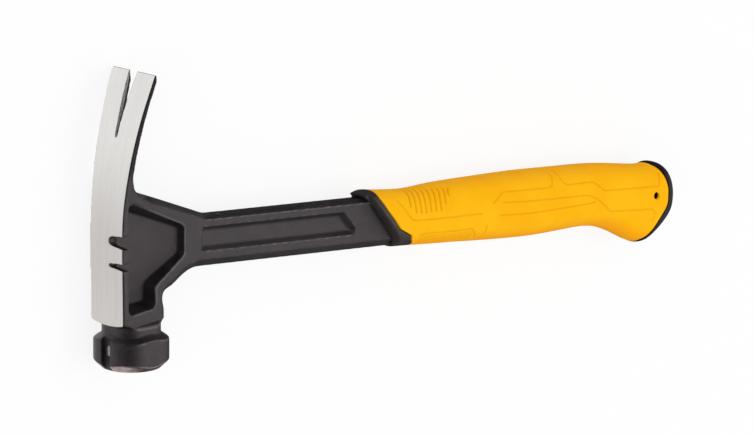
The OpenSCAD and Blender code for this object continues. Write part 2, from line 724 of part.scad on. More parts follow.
// What is cut off the collar so that it rises in a round from the shank to the sleeve
module collar_round() {
    slant = atan(collar_slope_share);
    wide = collar_w * cos(slant);
    foot = shank_t / 2 + collar_w * collar_foot_share;
    high = grip_t * collar_top_share - foot;
    curve = [for (i = [0 : steps]) let (k = 90 * i / steps) [wide * (1 - cos(k)), foot + high * sin(k)]];
    translate([collar_at, 0, 0]) rotate([90, 0, slant])
        linear_extrude(3 * grip_h, center = true)
            polygon(concat([[-grip_h, foot]], curve, [[wide, grip_t], [-grip_h, grip_t]]));
}
module collar() {
    difference() {
        intersection() {
            grip_form();
            slab() collar_side();
        }
        both_sides() collar_round();
    }
}
module before_sleeve() {
    polygon(concat([[0, grip_h]], rear_edge, [[0, collar_low]]));
}
// Everything in front of the butt cap: the grip's own end outline, drawn in along the grip
module before_cap() {
    end = grip_start + grip_len;
    rim = grip_start + grip_len * cap_from_share;
    rim_top = grip_start + grip_len * cap_top_share;
    rim_low = grip_start + grip_len * cap_low_share;
    keep = 1 - cap_w / (end - rim);
    lift = cap_w * cap_lift_share / (end - rim);
    tail = [for (g = grip_rows) if (g[0] > rim)
        [rim + (g[0] - rim) * keep, g[1], g[2] + (g[0] - rim) * lift]];
    upper = [for (g = tail) if (g[0] > rim_top) [g[0], g[1]]];
    lower = [for (k = [len(tail) - 1 : -1 : 0]) if (tail[k][0] > rim_low) [tail[k][0], tail[k][2]]];
    polygon(concat([[0, grip_h], [rim_top, grip_h]], upper, lower, [[rim_low, -grip_h], [0, -grip_h]]));
}
// Grooves for the thumb, across both sides of the grip
module thumb_groove(low) {
    w = rib_w / 2;
    bend = max(low + rib_w, grip_h * rib_bend_share);
    high = grip_h * rib_high_share;
    lean = grip_h * rib_lean_share;
    polygon([[-w, low], [w, low], [w, bend], [w + lean, high], [lean - w, high], [-w, bend]]);
    translate([0, low]) circle(r = w, $fn = 24);
}
module thumb_grooves() {
    difference() {
        slab() for (i = [0 : len(rib_low_shares) - 1])
            translate([grip_start + rib_start + i * rib_step, 0])
                thumb_groove(grip_h * rib_low_shares[i]);
        grip_form(rib_d);
    }
}
module hanging_hole() {
    translate([grip_start + grip_len - hole_from_end, 0, 0])
        cylinder(h = 3 * grip_t, d = hole_d, center = true, $fn = 64);
}
module core_bar() {
    r = core_t * tang_corner_share;
    end = grip_start + grip_len;
    intersection() {
        bar(0, end) soft_rectangle(core_h, core_t, r);
        slab() polygon([[seat_at(core_h), core_h], [end, core_h],
            [end, -core_h], [seat_at(-core_h), -core_h]]);
    }
}

module place() {
    max_x = max([for (g = grip_rows) max(on_handle(g[0], g[1])[0], on_handle(g[0], g[2])[0])]);
    translate([-(max_x - poll_w / 2) / 2, -head_len / 2, half_z]) children();
}

module forged_body() {
    color([0.24, 0.23, 0.24]) place() steel();
}
module nail_magnet() {
    color([0.78, 0.78, 0.8]) place()
        translate([-poll_w / 2 + groove_d, magnet_y, 0]) rotate([0, 90, 0])
            cylinder(h = magnet_t, d = magnet_d, $fn = 64);
}
module grip_core() {
    color([0.15, 0.15, 0.16]) place() difference() {
        along_handle() difference() {
            union() {
                collar();
                intersection() {
                    core_bar();
                    slab() before_cap();
                }
            }
            hanging_hole();
        }
        difference() {
            shank_and_tang();
            tang_holes();
        }
    }
}
module grip_sleeve() {
    color([1, 0.74, 0.1]) place() along_handle() difference() {
        intersection() {
            grip_form();
            slab() before_cap();
        }
        slab() before_sleeve();
        core_bar();
        hanging_hole();
        thumb_grooves();
    }
}
module butt_cap() {
    color([0.15, 0.15, 0.16]) place() along_handle() difference() {
        grip_form();
        slab() before_cap();
    }
}
forged_body();
nail_magnet();
grip_core();
grip_sleeve();
butt_cap();
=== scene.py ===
"""Framing hammer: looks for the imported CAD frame.

The hammer's lengths are in millimetres, and to_world turns them into metres. The studio's are in metres.
"""
import math
from contextlib import contextmanager
from functools import partialmethod

import bmesh
import bpy
import numpy as np
from mathutils import Matrix, Vector
from mathutils.kdtree import KDTree


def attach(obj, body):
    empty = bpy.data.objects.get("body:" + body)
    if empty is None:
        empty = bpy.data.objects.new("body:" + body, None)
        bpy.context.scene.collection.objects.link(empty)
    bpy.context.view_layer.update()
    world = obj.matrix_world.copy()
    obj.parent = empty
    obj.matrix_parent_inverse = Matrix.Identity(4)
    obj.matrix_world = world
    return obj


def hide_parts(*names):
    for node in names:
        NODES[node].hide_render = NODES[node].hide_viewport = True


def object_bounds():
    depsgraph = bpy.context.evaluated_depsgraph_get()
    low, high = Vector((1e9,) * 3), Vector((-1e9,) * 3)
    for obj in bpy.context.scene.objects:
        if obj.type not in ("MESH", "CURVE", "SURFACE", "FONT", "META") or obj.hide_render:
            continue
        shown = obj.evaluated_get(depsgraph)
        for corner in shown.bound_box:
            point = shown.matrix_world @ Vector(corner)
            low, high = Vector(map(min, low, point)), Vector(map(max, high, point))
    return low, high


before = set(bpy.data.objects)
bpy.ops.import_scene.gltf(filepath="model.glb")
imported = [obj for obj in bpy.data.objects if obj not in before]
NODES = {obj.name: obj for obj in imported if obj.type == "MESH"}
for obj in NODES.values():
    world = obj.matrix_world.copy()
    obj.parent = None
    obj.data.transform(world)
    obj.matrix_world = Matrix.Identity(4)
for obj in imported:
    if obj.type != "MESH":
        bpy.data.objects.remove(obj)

CAD_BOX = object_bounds()
MM = 0.001

# The CAD's head: its length, and the width and corner radius of the poll
HEAD_LEN, POLL_W, POLL_CORNER_R = 145.5, 33.0, 12.0
# Strap: distance from the poll axis to its back, thickness, width, and its lean at the poll end
STRAP_OFF, STRAP_T, STRAP_W, STRAP_LEAN = 15.6, 4.0, 24.0, 0.8
# Curve of the claws: its radius, and the height on the head where it begins
ARC_R, ARC_Y = 190.0, 64.0
ARC_X = ARC_R - STRAP_OFF
# Nail slot of the CAD: height of its end, half its width there and at the tips
SLOT_END, SLOT_HALF_END, SLOT_HALF = 115.5, 0.35, 2.7
# Striking face: radius, crown, and the height of its bevel, which widens to the poll's corners
FACE_R, FACE_CROWN, FACE_BEVEL_H = 14.3, 1.0, 3.9
CROWN_R = (FACE_R ** 2 + FACE_CROWN ** 2) / (2 * FACE_CROWN)
POLL_REACH = POLL_W / math.sqrt(2) - POLL_CORNER_R * (math.sqrt(2) - 1)
FACE_WIDEN = (POLL_REACH - FACE_R) / FACE_BEVEL_H
# Handle: its droop, its height on the poll axis, the shank's thickness and the place of the grip's end
HANDLE_ANGLE = math.radians(4)
SHANK_Y, SHANK_T, GRIP_END = 60.2, 11.0, 365.3
# Hanging hole: its place along the handle and its radius
HOLE_AT, HOLE_R = GRIP_END - 16.0, 1.8

# Frame of the head: u from the poll axis towards the handle, v up the head from the face, w off the middle
# plane towards the side that shows. This is where its origin lies in the CAD
PLACE_MM = np.array([-174.0736, -HEAD_LEN / 2, POLL_W / 2])

# Camera: fitted to the photograph's 754 x 435 frame
FOCAL_PX, PHOTO_W = 6329.0, 754
TARGET_MM = Vector((-11.824, -22.92, 16.5))
DISTANCE_MM = 3144.8
TO_CAMERA = Vector((-0.6708, 0.2204, 0.7081)).normalized()
LEVEL_RIGHT = Vector((0.7260, 0.0, 0.6877)).normalized()
ROLL = math.radians(0.4)
FAR_CLIP_M = 50.0


def add_object(name, data):
    """A new object in the scene."""
    obj = bpy.data.objects.new(name, data)
    bpy.context.collection.objects.link(obj)
    return obj


def make_camera():
    level_up = TO_CAMERA.cross(LEVEL_RIGHT).normalized()
    level_right = level_up.cross(TO_CAMERA).normalized()
    right = level_right * math.cos(ROLL) + level_up * math.sin(ROLL)
    up = level_up * math.cos(ROLL) - level_right * math.sin(ROLL)
    data = bpy.data.cameras.new("camera")
    data.sensor_fit = "HORIZONTAL"
    data.lens = FOCAL_PX * data.sensor_width / PHOTO_W
    data.clip_end = FAR_CLIP_M
    cam = add_object("camera", data)
    place = (TARGET_MM + TO_CAMERA * DISTANCE_MM) * MM
    turn = Matrix((right, up, TO_CAMERA)).transposed().to_4x4()
    cam.matrix_world = Matrix.Translation(place) @ turn
    bpy.context.scene.camera = cam


make_camera()


# Places in the head's frame, along the handle and in the world
def points(*parts):
    return np.stack(parts, axis=-1)


def to_world(uvw_mm):
    return (np.asarray(uvw_mm, float) + PLACE_MM) * MM


def handle_to_head(s, y, z):
    """Points given along the handle, across it and off the middle plane, in the head's frame."""
    c, n = math.cos(HANDLE_ANGLE), math.sin(HANDLE_ANGLE)
    return points(s * c + y * n, SHANK_Y - s * n + y * c, z)


def head_to_handle(p):
    """The other way round."""
    c, n = math.cos(HANDLE_ANGLE), math.sin(HANDLE_ANGLE)
    v = p[:, 1] - SHANK_Y
    return points(p[:, 0] * c - v * n, p[:, 0] * n + v * c, p[:, 2])


def read_all(parts, name, width, kind=float):
    """One attribute of all vertices or edges of a mesh, a row for each."""
    values = np.empty(len(parts) * width, dtype=kind)
    parts.foreach_get(name, values)
    return values.reshape(-1, width)


def mesh_points(mesh):
    return read_all(mesh.vertices, "co", 3)


def mesh_edges(mesh):
    """The first and the second vertex of each edge."""
    return read_all(mesh.edges, "vertices", 2, np.int64).T


def head_points(mesh):
    return mesh_points(mesh) / MM - PLACE_MM


def handle_points(mesh):
    return head_to_handle(head_points(mesh))


def set_points(mesh, co):
    mesh.vertices.foreach_set("co", co.ravel())
    mesh.update()


def smooth_step(x, low, high):
    t = np.clip((x - low) / (high - low), 0, 1)
    return t * t * (3 - 2 * t)


def fade(x, low, high):
    """One up to low, zero from high on."""
    return 1 - smooth_step(x, low, high)


# Distances, in metres, within which points are the same or lie in a plane
SAME_POINT_M, IN_PLANE_M = 1e-6, 1e-7


def new_object(name, verts, faces):
    mesh = bpy.data.meshes.new(name)
    mesh.from_pydata([tuple(p) for p in verts], [], faces)
    mesh.validate()
    return add_object(name, mesh)


def apply_modifiers(obj):
    graph = bpy.context.evaluated_depsgraph_get()
    graph.update()
    made = bpy.data.meshes.new_from_object(obj.evaluated_get(graph))
    obj.modifiers.clear()
    obj.data = made


@contextmanager
def opened(mesh):
    """A mesh opened for the tools of bmesh, and written back afterwards."""
    bm = bmesh.new()
    bm.from_mesh(mesh)
    yield bm
    bm.to_mesh(mesh)
    bm.free()


def handle_cut(bm, along_mm, keep_front):
    """Cuts a closed mesh square across the handle and closes it again."""
    place = to_world(handle_to_head(along_mm, 0.0, 0.0))
    normal = to_world(handle_to_head(along_mm + 1.0, 0.0, 0.0)) - place
    parts = [*bm.verts, *bm.edges, *bm.faces]
    cut = bmesh.ops.bisect_plane(bm, geom=parts, dist=IN_PLANE_M, plane_co=Vector(place),
                                 plane_no=Vector(normal), clear_outer=keep_front, clear_inner=not keep_front)
    rim = [e for e in cut["geom_cut"] if isinstance(e, bmesh.types.BMEdge)]
    bmesh.ops.triangle_fill(bm, use_beauty=True, use_dissolve=False, edges=rim)


def node_part(node, along_mm, keep_front):
    """The part of a CAD node in front of a place along the handle, or the one behind it."""
    mesh = NODES[node].data.copy()
    with opened(mesh) as bm:
        bmesh.ops.remove_doubles(bm, verts=bm.verts, dist=SAME_POINT_M)
        if along_mm is not None:
            handle_cut(bm, along_mm, keep_front)
            bmesh.ops.recalc_face_normals(bm, faces=bm.faces)
    return mesh


def remeshed_copy(node, name, voxel_mm, front_of_mm=None):
    """A copy of a CAD node, or of its front part, with even faces, so that its edges can be softened."""
    obj = add_object(name, node_part(node, front_of_mm, True))
    mod = obj.modifiers.new("even", "REMESH")
    mod.mode = "VOXEL"
    mod.voxel_size = voxel_mm * MM
    apply_modifiers(obj)
    return obj


def join_rest(obj, node, along_mm):
    """Adds the CAD node's hidden part behind a place along the handle, as it is."""
    with opened(obj.data) as bm:
        bm.from_mesh(node_part(node, along_mm, False))


class Neighbours:
    """Means over the neighbours of each vertex of a mesh."""

    def __init__(self, mesh):
        self.a, self.b = mesh_edges(mesh)
        self.n = len(mesh.vertices)
        ends = np.bincount(np.concatenate([self.a, self.b]), minlength=self.n)
        self.count = np.maximum(ends, 1)

    def mean(self, x):
        total = np.bincount(self.a, weights=x[self.b], minlength=self.n)
        return (total + np.bincount(self.b, weights=x[self.a], minlength=self.n)) / self.count


def soften(mesh, weights, rounds):
    """Moves each vertex towards the mean of its neighbours, by its weight, which rounds the edges off."""
    near = Neighbours(mesh)
    co = mesh_points(mesh)
    for _ in range(rounds):
        for k in range(3):
            co[:, k] += weights * (near.mean(co[:, k]) - co[:, k])
    set_points(mesh, co)


def edge_field(mesh, full_mm):
    """One along outer edges, zero on flats and in corners, from how far a vertex stands out."""
    near = Neighbours(mesh)
    co = mesh_points(mesh)
    normal = read_all(mesh.vertices, "normal", 3)
    out = sum((co[:, k] - near.mean(co[:, k])) * normal[:, k] for k in range(3)) / MM
    for _ in range(2):
        out = 0.5 * out + 0.5 * near.mean(out)
    return np.clip(out / full_mm, 0, 1)


def add_field(mesh, name, values):
    """A number on each vertex, for the materials."""
    field = mesh.attributes.new(name, "FLOAT", "POINT")
    field.data.foreach_set("value", np.asarray(values, dtype=np.float32))


def node_edges(*names):
    """The edges of CAD nodes in the head's frame: their first and their second ends."""
    firsts, seconds = [], []
    for name in names:
        p = head_points(NODES[name].data)
        a, b = mesh_edges(NODES[name].data)
        firsts.append(p[a])
        seconds.append(p[b])
    return np.concatenate(firsts), np.concatenate(seconds)


def sliced(a, b, axis, at):
    """Where edges from a to b pass a place along one axis."""
    hit = (a[:, axis] - at) * (b[:, axis] - at) < 0
    t = (at - a[hit, axis]) / (b[hit, axis] - a[hit, axis])
    return a[hit] + t[:, None] * (b[hit] - a[hit])


# Materials. A noise is its scale per millimetre, its detail and its roughness, and a range is where a smooth
# step begins and ends. Four numbers are a range and the two values that it runs between
NOISE_MEAN = 0.5


class Nodes:
    """Short ways to add shader nodes to one tree. Inputs may be numbers, colours or sockets."""

    def __init__(self, tree):
        self.tree = tree

    def add(self, kind, inputs=(), **settings):
        node = self.tree.nodes.new(kind)
        for key, value in settings.items():
            setattr(node, key, value)
        for key, value in dict(inputs).items():
            if isinstance(value, bpy.types.NodeSocket):
                self.tree.links.new(value, node.inputs[key])
            else:
                node.inputs[key].default_value = value
        return node

    def math(self, op, *values):
        return self.add("ShaderNodeMath", dict(enumerate(values)), operation=op).outputs[0]

    plus, minus = partialmethod(math, "ADD"), partialmethod(math, "SUBTRACT")
    times, over = partialmethod(math, "MULTIPLY"), partialmethod(math, "DIVIDE")
    more, less = partialmethod(math, "GREATER_THAN"), partialmethod(math, "LESS_THAN")
    larger, smaller = partialmethod(math, "MAXIMUM"), partialmethod(math, "MINIMUM")

    def length(self, a, b):
        return self.math("SQRT", self.plus(self.times(a, a), self.times(b, b)))

    def blend(self, share, a, b):
        """The mean of two values in which b has a share."""
        rest = self.minus(1.0, share) if isinstance(share, bpy.types.NodeSocket) else 1.0 - share
        return self.plus(self.times(a, rest), self.times(b, share))

    def swing(self, noise, reach):
        """A noise about zero."""
        return self.times(self.minus(noise, NOISE_MEAN), reach)

    def ramp(self, value, low, high, to_low=0.0, to_high=1.0):
        """Smooth step from low to high, mapped to the two last values."""
        return self.add("ShaderNodeMapRange", {0: value, 1: low, 2: high, 3: to_low, 4: to_high},
                        interpolation_type="SMOOTHSTEP").outputs[0]

    def mix(self, factor, a, b):
        return self.add("ShaderNodeMix", {0: factor, 6: a, 7: b}, data_type="RGBA").outputs[2]

    def noise(self, vector, scale, detail=3.0, rough=0.55):
        return self.add("ShaderNodeTexNoise", {"Vector": vector, "Scale": scale, "Detail": detail,
                                               "Roughness": rough}).outputs["Fac"]

    def attribute(self, name):
        return self.add("ShaderNodeAttribute", attribute_name=name).outputs["Fac"]

    def vector_math(self, op, a, b):
        return self.add("ShaderNodeVectorMath", {0: a, 1: b}, operation=op)

    def stretched(self, vector, factors):
        return self.vector_math("MULTIPLY", vector, factors).outputs[0]

    def bump(self, height, strength, distance_mm):
        inputs = {"Height": height, "Strength": strength, "Distance": distance_mm * MM}
        return self.add("ShaderNodeBump", inputs).outputs[0]

    def position(self, kind="Object"):
        return self.add("ShaderNodeTexCoord").outputs[kind]

    def split(self, vector):
        return self.add("ShaderNodeSeparateXYZ", {0: vector}).outputs


def empty_nodes(owner):
    """The node tree of a material or a world, with nothing in it."""
    owner.use_nodes = True
    owner.node_tree.nodes.clear()
    return Nodes(owner.node_tree)


def new_material(name):
    mat = bpy.data.materials.new(name)
    return mat, empty_nodes(mat)


def set_surface(n, inputs):
    """Ends a material's nodes in one shader with these inputs."""
    shader = n.add("ShaderNodeBsdfPrincipled", inputs)
    n.add("ShaderNodeOutputMaterial", {"Surface": shader.outputs["BSDF"]})


def head_position(n):
    """The shading point in the head's frame: its vector and its three parts."""
    in_mm = n.stretched(n.position(), (1 / MM,) * 3)
    placed = n.vector_math("SUBTRACT", in_mm, tuple(PLACE_MM)).outputs[0]
    parts = n.split(placed)
    return placed, parts[0], parts[1], parts[2]


# Ground steel on the back: its height above the face, the depth where it ends, its coated margins at the
# side and at the tips, and how far its border wanders
BACK_ABOVE, BACK_DEPTH = 20.0, (0.3, 0.4, 1.0, 0.0)
BARE_INSET, TIP_EDGE = 0.75, 0.25
WANDER_NOISE, WANDER = (0.6, 4.0), 0.12
# Ground steel on the face: the depth where it ends, and its greatest height
FACE_DEPTH, FACE_BELOW = (0.2, 0.3, 1.0, 0.0), 6.5
# Ground steel: lines and streaks along the head, and a lighter tone towards the claws and the poll end
STEEL_DARK, STEEL_LIGHT = (0.595, 0.575, 0.555, 1), (0.86, 0.845, 0.825, 1)
LINES_STRETCH, LINES_NOISE = (0.6, 0.035, 2.6), (1.0, 5.0, 0.62)
STREAKS_STRETCH, STREAKS_NOISE, STREAKS_SHARE = (0.15, 0.018, 0.5), (1.0, 2.0), 0.3
GROUND_TONE = (0.36, 0.64)
CLAWS_LIGHTER, POLL_END_LIGHTER, POLL_END_SHARE = (62.0, 118.0), (25.0, 50.0, 1.0, 0.0), 0.15
HEIGHT_SHARE = 0.76
# Striking face: duller, with scuffs
FACE_DARK, FACE_LIGHT = (0.31, 0.245, 0.235, 1), (0.46, 0.39, 0.375, 1)
SCUFF_NOISE, SCUFF_GRAIN, SCUFFS = (0.35, 4.0), 0.3, (0.5, 0.8)
# Coating: cast grain with patches, and where the lighter tone begins
COAT_DARK, COAT_LIGHT = (0.0048, 0.0034, 0.0038, 1), (0.0165, 0.0125, 0.0138, 1)
COAT_SHEEN, COAT_TINT = 0.5, (1.0, 0.90, 0.93, 1)
COAT_GRAIN, COAT_PATCHES, PATCH_SHARE, COAT_TONE = (2.4, 5.0, 0.65), (0.12, 2.0), 0.5, (0.62, 0.92)
# Worn edges, also lighter as painted edge highlights: how they break up, where they begin behind the strap
# and end below the claws, and how much less they show on the head than on the shank. Light specks lie over
# all of it
WEAR_AND_HIGHLIGHT_COLOUR = (0.20, 0.18, 0.175, 1)
WEAR_AND_HIGHLIGHT_NOISE, WEAR_AND_HIGHLIGHT_RANGE = (1.1, 3.0, 0.7), (0.2, 0.48)
WEAR_AND_HIGHLIGHT_BEHIND, WEAR_AND_HIGHLIGHT_BELOW, WEAR_AND_HIGHLIGHT_ON_SHANK = (-11.0, -7.0), (92.0, 97.0, 1.0, 0.0), (31.0, 38.0, 0.45, 1.0)
SPECK_NOISE, SPECKS, SPECK_SHARE = (1.9, 3.0, 0.8), (0.55, 0.72), 0.3
# Nail slot: how much deeper it goes than the CAD's, and how far it lies towards the far side
SLOT_DEEPER, SLOT_ASIDE = 2.0, 1.1
SLOT_FROM = SLOT_END - SLOT_DEEPER
# Cast steel on the slot's walls: how far it reaches past them, how deep it goes, and its ragged border
CAST_DARK, CAST_LIGHT = (0.10, 0.094, 0.09, 1), (0.50, 0.48, 0.46, 1)
SLOT_PAST_SIDE, SLOT_PAST_END, CAST_LEAST, CAST_SWELL = 0.35, 1.0, 0.4, 5.0
RAGGED_NOISE, RAGGED = (1.1, 4.0, 0.7), 1.2
CAST_NOISE, CAST_TONE = (2.2, 4.0, 0.7), (0.42, 0.6)
# Roughness of coating and ground steel, what the claws' coating has on top, and their relief
STEEL_ROUGH, CLAWS_ROUGHER = (0.3, 0.7, 0.30, 0.44), (93.0, 103.0, 0.0, 0.4)
LINES_HEIGHT, STEEL_BUMP = 0.16, (1.0, 0.26)


def below_back(n, u, v):
    """How far the shading point lies below the ground back of strap and claws."""
    below_arc = n.minus(ARC_R, n.length(n.minus(u, ARC_X), n.minus(v, ARC_Y)))
    lean = n.times(n.minus(ARC_Y, v), STRAP_LEAN / ARC_Y)
    below_flat = n.minus(n.plus(u, STRAP_OFF), lean)
    return n.blend(n.more(v, ARC_Y), below_flat, below_arc)


def bare_back(n, v, below, wander):
    """One on the ground back of strap and claws, zero on its coated margins and elsewhere."""
    inside = n.more(n.plus(n.attribute("inset_mm"), wander), BARE_INSET)
    along = n.times(n.more(v, BACK_ABOVE), n.less(n.plus(v, wander), HEAD_LEN - TIP_EDGE))
    return n.times(n.times(n.ramp(below, *BACK_DEPTH), inside), along)


def bare_face(n, u, v, w, wander):
    """One on the ground striking face, from how far a point lies inside its bevel and its crown."""
    r = n.length(u, w)
    bevel_r = n.plus(FACE_R, n.times(n.minus(v, FACE_CROWN), FACE_WIDEN))
    in_bevel = n.times(n.minus(bevel_r, r), 1 / math.hypot(1, FACE_WIDEN))
    in_crown = n.minus(v, n.over(n.times(r, r), 2 * CROWN_R))
    deep = n.plus(n.smaller(in_bevel, in_crown), wander)
    return n.times(n.ramp(deep, *FACE_DEPTH), n.less(v, FACE_BELOW))


def coating(n, p, u, v, grain):
    """Dark coating, lighter where rough, with wear and painted highlights along its edges, strewn with light
    specks.
    """
    patches = n.times(n.noise(p, *COAT_PATCHES), PATCH_SHARE)
    coat = n.mix(n.ramp(n.plus(grain, patches), *COAT_TONE), COAT_DARK, COAT_LIGHT)
    # Edge wear and painted edge highlights: a lighter colour along the outer edges
    wear_and_highlight = n.ramp(n.times(n.attribute("edge"), n.noise(p, *WEAR_AND_HIGHLIGHT_NOISE)), *WEAR_AND_HIGHLIGHT_RANGE)
    wear_and_highlight_where = n.times(n.ramp(u, *WEAR_AND_HIGHLIGHT_BEHIND), n.ramp(v, *WEAR_AND_HIGHLIGHT_BELOW))
    wear_and_highlight_where = n.times(wear_and_highlight_where, n.ramp(u, *WEAR_AND_HIGHLIGHT_ON_SHANK))
    specks = n.times(n.ramp(n.noise(p, *SPECK_NOISE), *SPECKS), SPECK_SHARE)
    return n.mix(n.larger(n.times(wear_and_highlight, wear_and_highlight_where), specks), coat, WEAR_AND_HIGHLIGHT_COLOUR)


def slot_walls(n, p, v, w, below, coat):
    """The coating, with rough cast steel on the nail slot's walls next to the ground back."""
    t = n.over(n.minus(v, SLOT_FROM), HEAD_LEN - SLOT_FROM)
    half_slot = n.plus(SLOT_HALF_END, n.times(t, SLOT_HALF - SLOT_HALF_END))
    off_slot = n.math("ABSOLUTE", n.plus(w, SLOT_ASIDE))
    between = n.less(off_slot, n.plus(half_slot, SLOT_PAST_SIDE))
    in_slot = n.times(between, n.more(v, SLOT_FROM - SLOT_PAST_END))
    swell = n.times(n.larger(t, 0.0), n.minus(1.0, t))
    deep = n.plus(CAST_LEAST, n.times(swell, CAST_SWELL))
    ragged = n.plus(below, n.swing(n.noise(p, *RAGGED_NOISE), RAGGED))
    cast = n.times(in_slot, n.less(ragged, deep))
    tone = n.mix(n.ramp(n.noise(p, *CAST_NOISE), *CAST_TONE), CAST_DARK, CAST_LIGHT)
    return n.mix(cast, coat, tone)


def ground_steel(n, p, v, lines):
    """Fine lines along the head with soft streaks, lighter towards the claws and the poll end."""
    streaks = n.noise(n.stretched(p, STREAKS_STRETCH), *STREAKS_NOISE)
    tone = n.ramp(n.blend(STREAKS_SHARE, lines, streaks), *GROUND_TONE)
    poll_end = n.times(n.ramp(v, *POLL_END_LIGHTER), POLL_END_SHARE)
    by_height = n.plus(n.ramp(v, *CLAWS_LIGHTER), poll_end)
    return n.mix(n.blend(HEIGHT_SHARE, tone, by_height), STEEL_DARK, STEEL_LIGHT)


def steel_material():
    """Dark coating over the forging, with bare steel on the back of strap and claws and on the face."""
    mat, n = new_material("coated_steel")
    p, u, v, w = head_position(n)
    grain = n.noise(p, *COAT_GRAIN)
    lines = n.noise(n.stretched(p, LINES_STRETCH), *LINES_NOISE)
    wander = n.swing(n.noise(p, *WANDER_NOISE), WANDER)
    below = n.plus(below_back(n, u, v), wander)
    face = bare_face(n, u, v, w, wander)
    bare = n.larger(bare_back(n, v, below, wander), face)
    coat = slot_walls(n, p, v, w, below, coating(n, p, u, v, grain))
    scuffs = n.ramp(n.plus(n.noise(p, *SCUFF_NOISE), n.times(grain, SCUFF_GRAIN)), *SCUFFS)
    steel = n.mix(face, ground_steel(n, p, v, lines), n.mix(scuffs, FACE_DARK, FACE_LIGHT))
    coat_rough = n.plus(n.ramp(grain, *STEEL_ROUGH), n.ramp(v, *CLAWS_ROUGHER))
    rough = n.blend(bare, coat_rough, n.ramp(lines, *STEEL_ROUGH))
    relief = n.bump(n.blend(bare, grain, n.times(lines, LINES_HEIGHT)), *STEEL_BUMP)
    set_surface(n, {"Base Color": n.mix(bare, coat, steel), "Metallic": bare, "Roughness": rough,
                    "Normal": relief, "Specular IOR Level": COAT_SHEEN, "Specular Tint": COAT_TINT})
    return mat


# Yellow rubber: its tones by cloud and grain, and the deeper orange of painted shade at its rim and in its
# moulded lines
YELLOW_DEEP, YELLOW = (0.95, 0.45, 0.003, 1), (0.98, 0.50, 0.006, 1)
YELLOW_CLOUD, YELLOW_GRAIN, GRAIN_SHARE, YELLOW_TONE = (0.05, 2.0), (4.0, 4.0, 0.6), 0.4, (0.35, 0.65)
RIM_SHADE_ORANGE, RIM_SHADE_SHARE = (0.94, 0.36, 0.001, 1), 0.85
# Painted shade in the moulded lines: a deeper orange, and its share
GROOVE_SHADE_ORANGE, GROOVE_SHADE_SHARE = (0.72, 0.26, 0.002, 1), 0.5
RUBBER_SHEEN, RUBBER_ROUGH, RUBBER_BUMP = 0.03, (0.3, 0.7, 0.48, 0.6), (0.35, 0.08)
# Painted shade in the hanging hole, in black: how far past its radius, and off the middle plane up to where
HOLE_SHADE_BLACK, HOLE_PAST, HOLE_WITHIN = (0.012, 0.006, 0.004, 1), 0.1, (11.8, 12.8, 1.0, 0.0)
# How much lower than the CAD's the grip lies
GRIP_LOWER = 0.3


def rubber_material():
    """Soft yellow rubber, with painted shade: deeper at its rim and moulded lines, black in the hanging
    hole.
    """
    mat, n = new_material("grip_yellow")
    p, u, v, w = head_position(n)
    cloud, grain = n.noise(p, *YELLOW_CLOUD), n.noise(p, *YELLOW_GRAIN)
    tone = n.ramp(n.blend(GRAIN_SHARE, cloud, grain), *YELLOW_TONE)
    yellow = n.mix(tone, YELLOW_DEEP, YELLOW)
    # Painted shade: a deeper orange towards the sleeve's lower and upper rim
    yellow = n.mix(n.times(n.attribute("rim"), RIM_SHADE_SHARE), yellow, RIM_SHADE_ORANGE)
    # Painted shade: a deeper orange in the moulded lines
    yellow = n.mix(n.times(n.attribute("groove"), GROOVE_SHADE_SHARE), yellow, GROOVE_SHADE_ORANGE)
    # Painted shade: black inside the hanging hole
    hole = handle_to_head(HOLE_AT, -GRIP_LOWER, 0.0)
    off_axis = n.length(n.minus(u, float(hole[0])), n.minus(v, float(hole[1])))
    hole_shade = n.times(n.less(off_axis, HOLE_R + HOLE_PAST), n.ramp(n.math("ABSOLUTE", w), *HOLE_WITHIN))
    rough, relief = n.ramp(grain, *RUBBER_ROUGH), n.bump(grain, *RUBBER_BUMP)
    set_surface(n, {"Base Color": n.mix(hole_shade, yellow, HOLE_SHADE_BLACK), "Roughness": rough,
                    "Normal": relief, "Specular IOR Level": RUBBER_SHEEN})
    return mat


# Black plastics: dark and light tone and sheen of the collar and of the cap, and what they share. The
# collar's black is painted lighter, as painted light, and the cap's darker, as painted shade
COLLAR_LIT_LOOK = (0.026, 0.0210, 0.0203, 1), (0.041, 0.034, 0.033, 1), 0.3
CAP_SHADED_LOOK = (0.0080, 0.0062, 0.0058, 1), (0.017, 0.0140, 0.0134, 1), 0.2
PLASTIC_TINT = (1.0, 0.88, 0.84, 1)
PLASTIC_GRAIN, PLASTIC_CLOUD, CLOUD_SHARE, PLASTIC_TONE = (3.2, 4.0, 0.6), (0.2, 2.0), 0.5, (0.35, 0.65)
PLASTIC_ROUGH, PLASTIC_BUMP = (0.3, 0.7, 0.36, 0.48), (0.4, 0.08)


def plastic_material(name, dark, light, sheen):
    """Hard black plastic with a fine moulded grain."""
    mat, n = new_material(name)
    p = head_position(n)[0]
    grain, cloud = n.noise(p, *PLASTIC_GRAIN), n.noise(p, *PLASTIC_CLOUD)
    tone = n.ramp(n.blend(CLOUD_SHARE, grain, cloud), *PLASTIC_TONE)
    rough, relief = n.ramp(grain, *PLASTIC_ROUGH), n.bump(grain, *PLASTIC_BUMP)
    set_surface(n, {"Base Color": n.mix(tone, dark, light), "Roughness": rough, "Normal": relief,
                    "Specular IOR Level": sheen, "Specular Tint": PLASTIC_TINT})
    return mat


MAGNET_DARK, MAGNET_LIGHT = (0.26, 0.25, 0.24, 1), (0.55, 0.54, 0.52, 1)
MAGNET_STRETCH, MAGNET_SMEAR, MAGNET_SCUFF = (0.5, 4.0, 4.0), (1.0, 3.0), (1.4, 5.0, 0.7)
MAGNET_TONE, MAGNET_ROUGH, MAGNET_BUMP = (0.4, 0.65), (0.3, 0.7, 0.22, 0.4), (0.3, 0.05)


